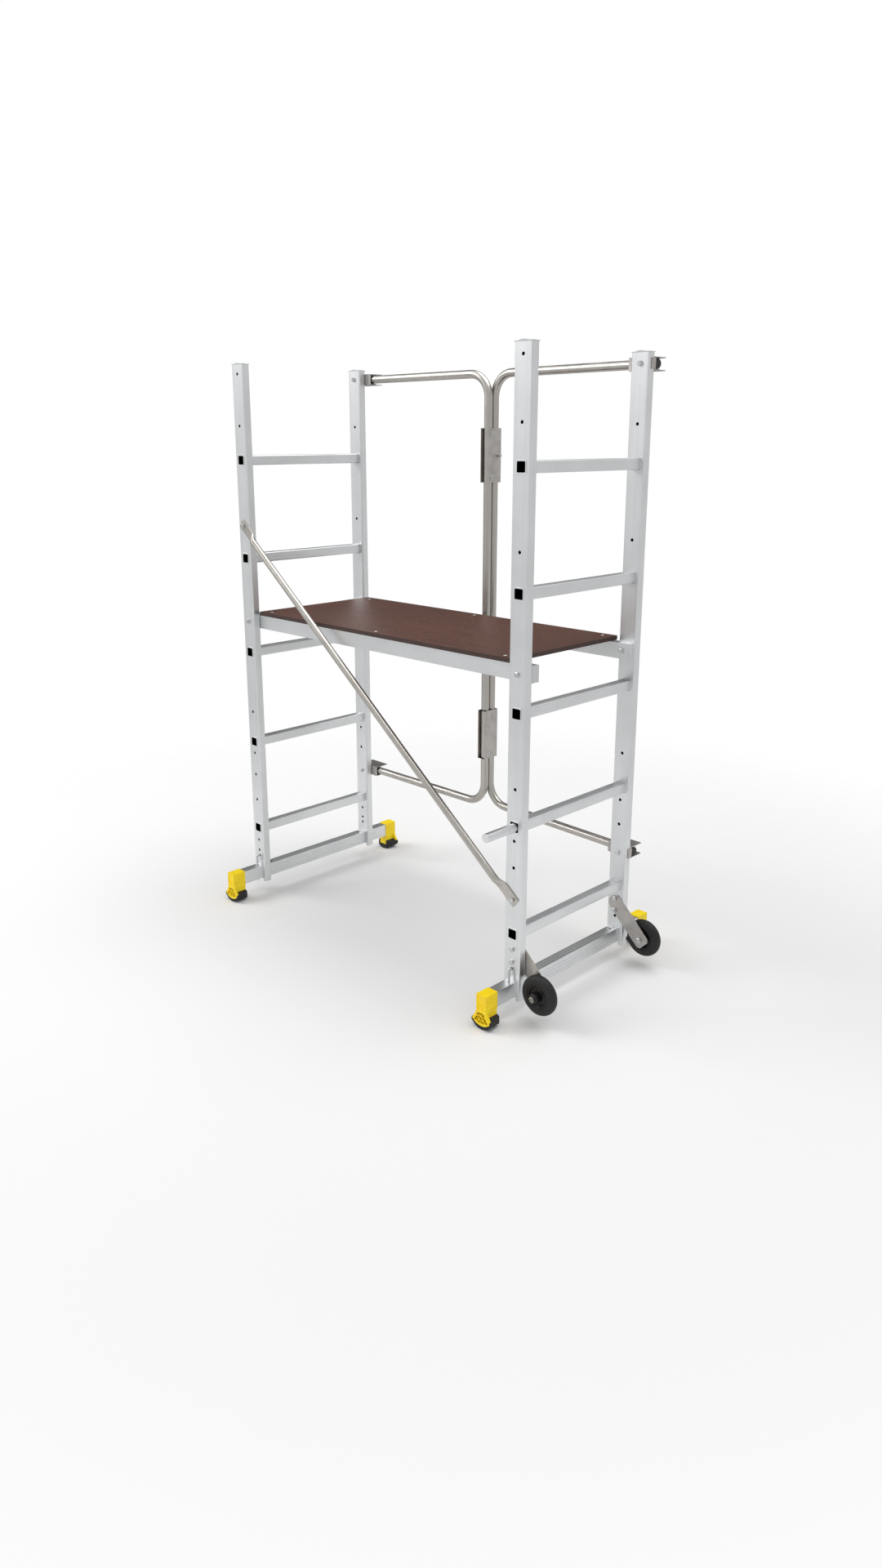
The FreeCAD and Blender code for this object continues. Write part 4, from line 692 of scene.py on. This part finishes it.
def makeGuardTube(side):
    node = "guard_%s_tube" % side
    low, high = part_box(node)
    radius, bend = guardShape["radius"], guardShape["bend"]
    top, bottom = high.z - radius, low.z + radius
    reach = (high.x - low.x) - radius
    if side == "right":
        slant = guardShape["slant"]
        reach = (high.x - low.x - radius) / math.cos(slant) - radius * math.tan(slant) * 0.5
    bpy.ops.object.select_all(action="DESELECT")
    bpy.ops.mesh.primitive_circle_add(vertices=guardShape["sides"], radius=radius,
                                      location=(reach, 0, top), rotation=(0, math.pi / 2, 0))
    tube = bakePlace(bpy.context.object)
    startEdit(tube, "EDGE")
    bpy.ops.mesh.select_all(action="SELECT")
    bpy.ops.mesh.extrude_edges_move(TRANSFORM_OT_translate={"value": (bend - reach, 0, 0)})
    bpy.ops.mesh.spin(steps=guardShape["steps"], angle=math.pi / 2, center=(bend, 0, top - bend),
                      axis=(0, 1, 0))
    bpy.ops.mesh.extrude_edges_move(
        TRANSFORM_OT_translate={"value": (0, 0, bottom - top + 2 * bend)})
    bpy.ops.mesh.spin(steps=guardShape["steps"], angle=math.pi / 2,
                      center=(bend, 0, bottom + bend), axis=(0, 1, 0))
    bpy.ops.mesh.extrude_edges_move(TRANSFORM_OT_translate={"value": (reach - bend, 0, 0)})
    bpy.ops.mesh.select_all(action="SELECT")
    bpy.ops.mesh.remove_doubles(threshold=lathe["merge"])
    bpy.ops.mesh.normals_make_consistent(inside=False)
    endEdit()
    applyModifier(tube, "SOLIDIFY", {"thickness": guardShape["wall"], "offset": -1})
    if side == "left":
        turn = Matrix.Rotation(math.pi, 4, "Z")
        spot = Vector((high.x - radius, (low.y + high.y) / 2, 0))
    else:
        turn = Matrix.Rotation(-slant, 4, "Z")
        spot = Vector((low.x + radius, high.y - radius, 0))
    tube.data.transform(Matrix.Translation(spot) @ turn)
    tube.name = "guard_tube_" + side
    standFor(smooth(tube, 40), "tube", node)


# assembling the looks

for name, node in frame["nodes"].items():
    node.data.materials.clear()
    node.data.materials.append(finishes[finishFor(name)])
print("CAD nodes finished")
easePieces()
makeDeck()
makeWheels()
for nodeName in ("platform_bolts", "platform_nuts", "brace_bolts", "guard_bracket_bolts",
                 "wheel_bracket_bolts"):
    makeFasteners(nodeName, platformFastener)
makeFasteners("wheel_axles", axleFastener)
makeDeckScrews()
for side in ("left", "right"):
    makeGuardTube(side)
print("guard tubes made")


# floor, light and camera

stageShape = {"radius": 6, "clearFrom": 1.1, "clearTo": 2.6, "white": 0.84}   # metres


def makeStage():
    # a pale matte floor that thins out to the studio's white with distance
    bpy.ops.object.select_all(action="DESELECT")
    bpy.ops.mesh.primitive_circle_add(vertices=96, radius=stageShape["radius"], fill_type="NGON",
                                      location=(0, 0, 0))
    floor = bpy.context.object
    floor.name = "floor"
    material, tree, surface, place = newMaterial("matteWhiteFloor", "#FFFFFF", 0.0, 0.9,
                                                 {"Specular IOR Level": 0.1})
    surface.inputs["Base Color"].default_value = grey(stageShape["white"])
    away = addNode(tree, "ShaderNodeVectorMath", {"operation": "LENGTH"}, {0: place})
    thin = addNode(tree, "ShaderNodeMapRange", {"interpolation_type": "SMOOTHSTEP",
                                                "From Min": stageShape["clearFrom"],
                                                "From Max": stageShape["clearTo"]},
                   {"Value": away.outputs["Value"]})
    clear = addNode(tree, "ShaderNodeBsdfTransparent")
    mixed = addNode(tree, "ShaderNodeMixShader", links={0: thin.outputs[0], 1: surface.outputs[0],
                                                        2: clear.outputs[0]})
    output = next(node for node in tree.nodes if node.type == "OUTPUT_MATERIAL")
    tree.links.new(mixed.outputs[0], output.inputs["Surface"])
    floor.data.materials.append(material)


studioTone = {"darkSide": (-0.68, 0.68, 0.27), "from": 0.45, "to": 0.92,
              "bright": 0.68, "dark": 0.15}


def makeWorld():
    # the backdrop is white, and what the metal mirrors is a pale studio with one darker side
    world = bpy.data.worlds.new("studio")
    bpy.context.scene.world = world
    world.use_nodes = True
    tree = world.node_tree
    tree.nodes.clear()
    direction = addNode(tree, "ShaderNodeTexCoord").outputs["Generated"]
    facing = addNode(tree, "ShaderNodeVectorMath", {"operation": "DOT_PRODUCT",
                                                    1: studioTone["darkSide"]}, {0: direction})
    side = addNode(tree, "ShaderNodeMapRange", {"From Min": studioTone["from"],
                                                "From Max": studioTone["to"]},
                   {"Value": facing.outputs["Value"]})
    colours = ramp(tree, side.outputs[0], [(0.0, grey(studioTone["bright"])),
                                           (1.0, grey(studioTone["dark"]))])
    seen = addNode(tree, "ShaderNodeBackground", {"Color": grey(1.0), "Strength": 1.0})
    mirrored = addNode(tree, "ShaderNodeBackground", {"Strength": 1.0}, {"Color": colours})
    path = addNode(tree, "ShaderNodeLightPath")
    both = addNode(tree, "ShaderNodeMixShader", links={0: path.outputs["Is Camera Ray"],
                                                       1: mirrored.outputs[0], 2: seen.outputs[0]})
    addNode(tree, "ShaderNodeOutputWorld", links={"Surface": both.outputs[0]})


softboxes = {                       # place, aim, size and power of each lamp
    "keyLight": {"place": (-3.4, -2.6, 3.9), "aim": (0, 0, 0.7), "size": 2.4, "power": 110},
    "topLight": {"place": (0.6, 0.8, 4.6), "aim": (0, 0, 0.8), "size": 3.5, "power": 105},
}


def makeLights():
    for name, lamp in softboxes.items():
        data = bpy.data.lights.new(name, "AREA")
        data.shape = "SQUARE"
        data.size = lamp["size"]
        data.energy = lamp["power"]
        light = bpy.data.objects.new(name, data)
        bpy.context.scene.collection.objects.link(light)
        light.location = lamp["place"]
        aim = Vector(lamp["aim"]) - Vector(lamp["place"])
        light.rotation_euler = aim.to_track_quat("-Z", "Y").to_euler()


viewpoint = {"place": (2.1954, -2.1986, 1.4947), "tilt": 90 - 15.01, "turn": 44.94,
             "lens": 24.45, "sensor": 36, "shiftY": -0.038}


def makeCamera():
    data = bpy.data.cameras.new("camera")
    data.lens = viewpoint["lens"]
    data.sensor_width = viewpoint["sensor"]
    data.shift_y = viewpoint["shiftY"]
    camera = bpy.data.objects.new("camera", data)
    bpy.context.scene.collection.objects.link(camera)
    camera.location = viewpoint["place"]
    camera.rotation_euler = (math.radians(viewpoint["tilt"]), 0, math.radians(viewpoint["turn"]))
    bpy.context.scene.camera = camera


makeStage()
makeWorld()
makeLights()
makeCamera()
bpy.context.scene.view_settings.view_transform = "Standard"
print("stage set")
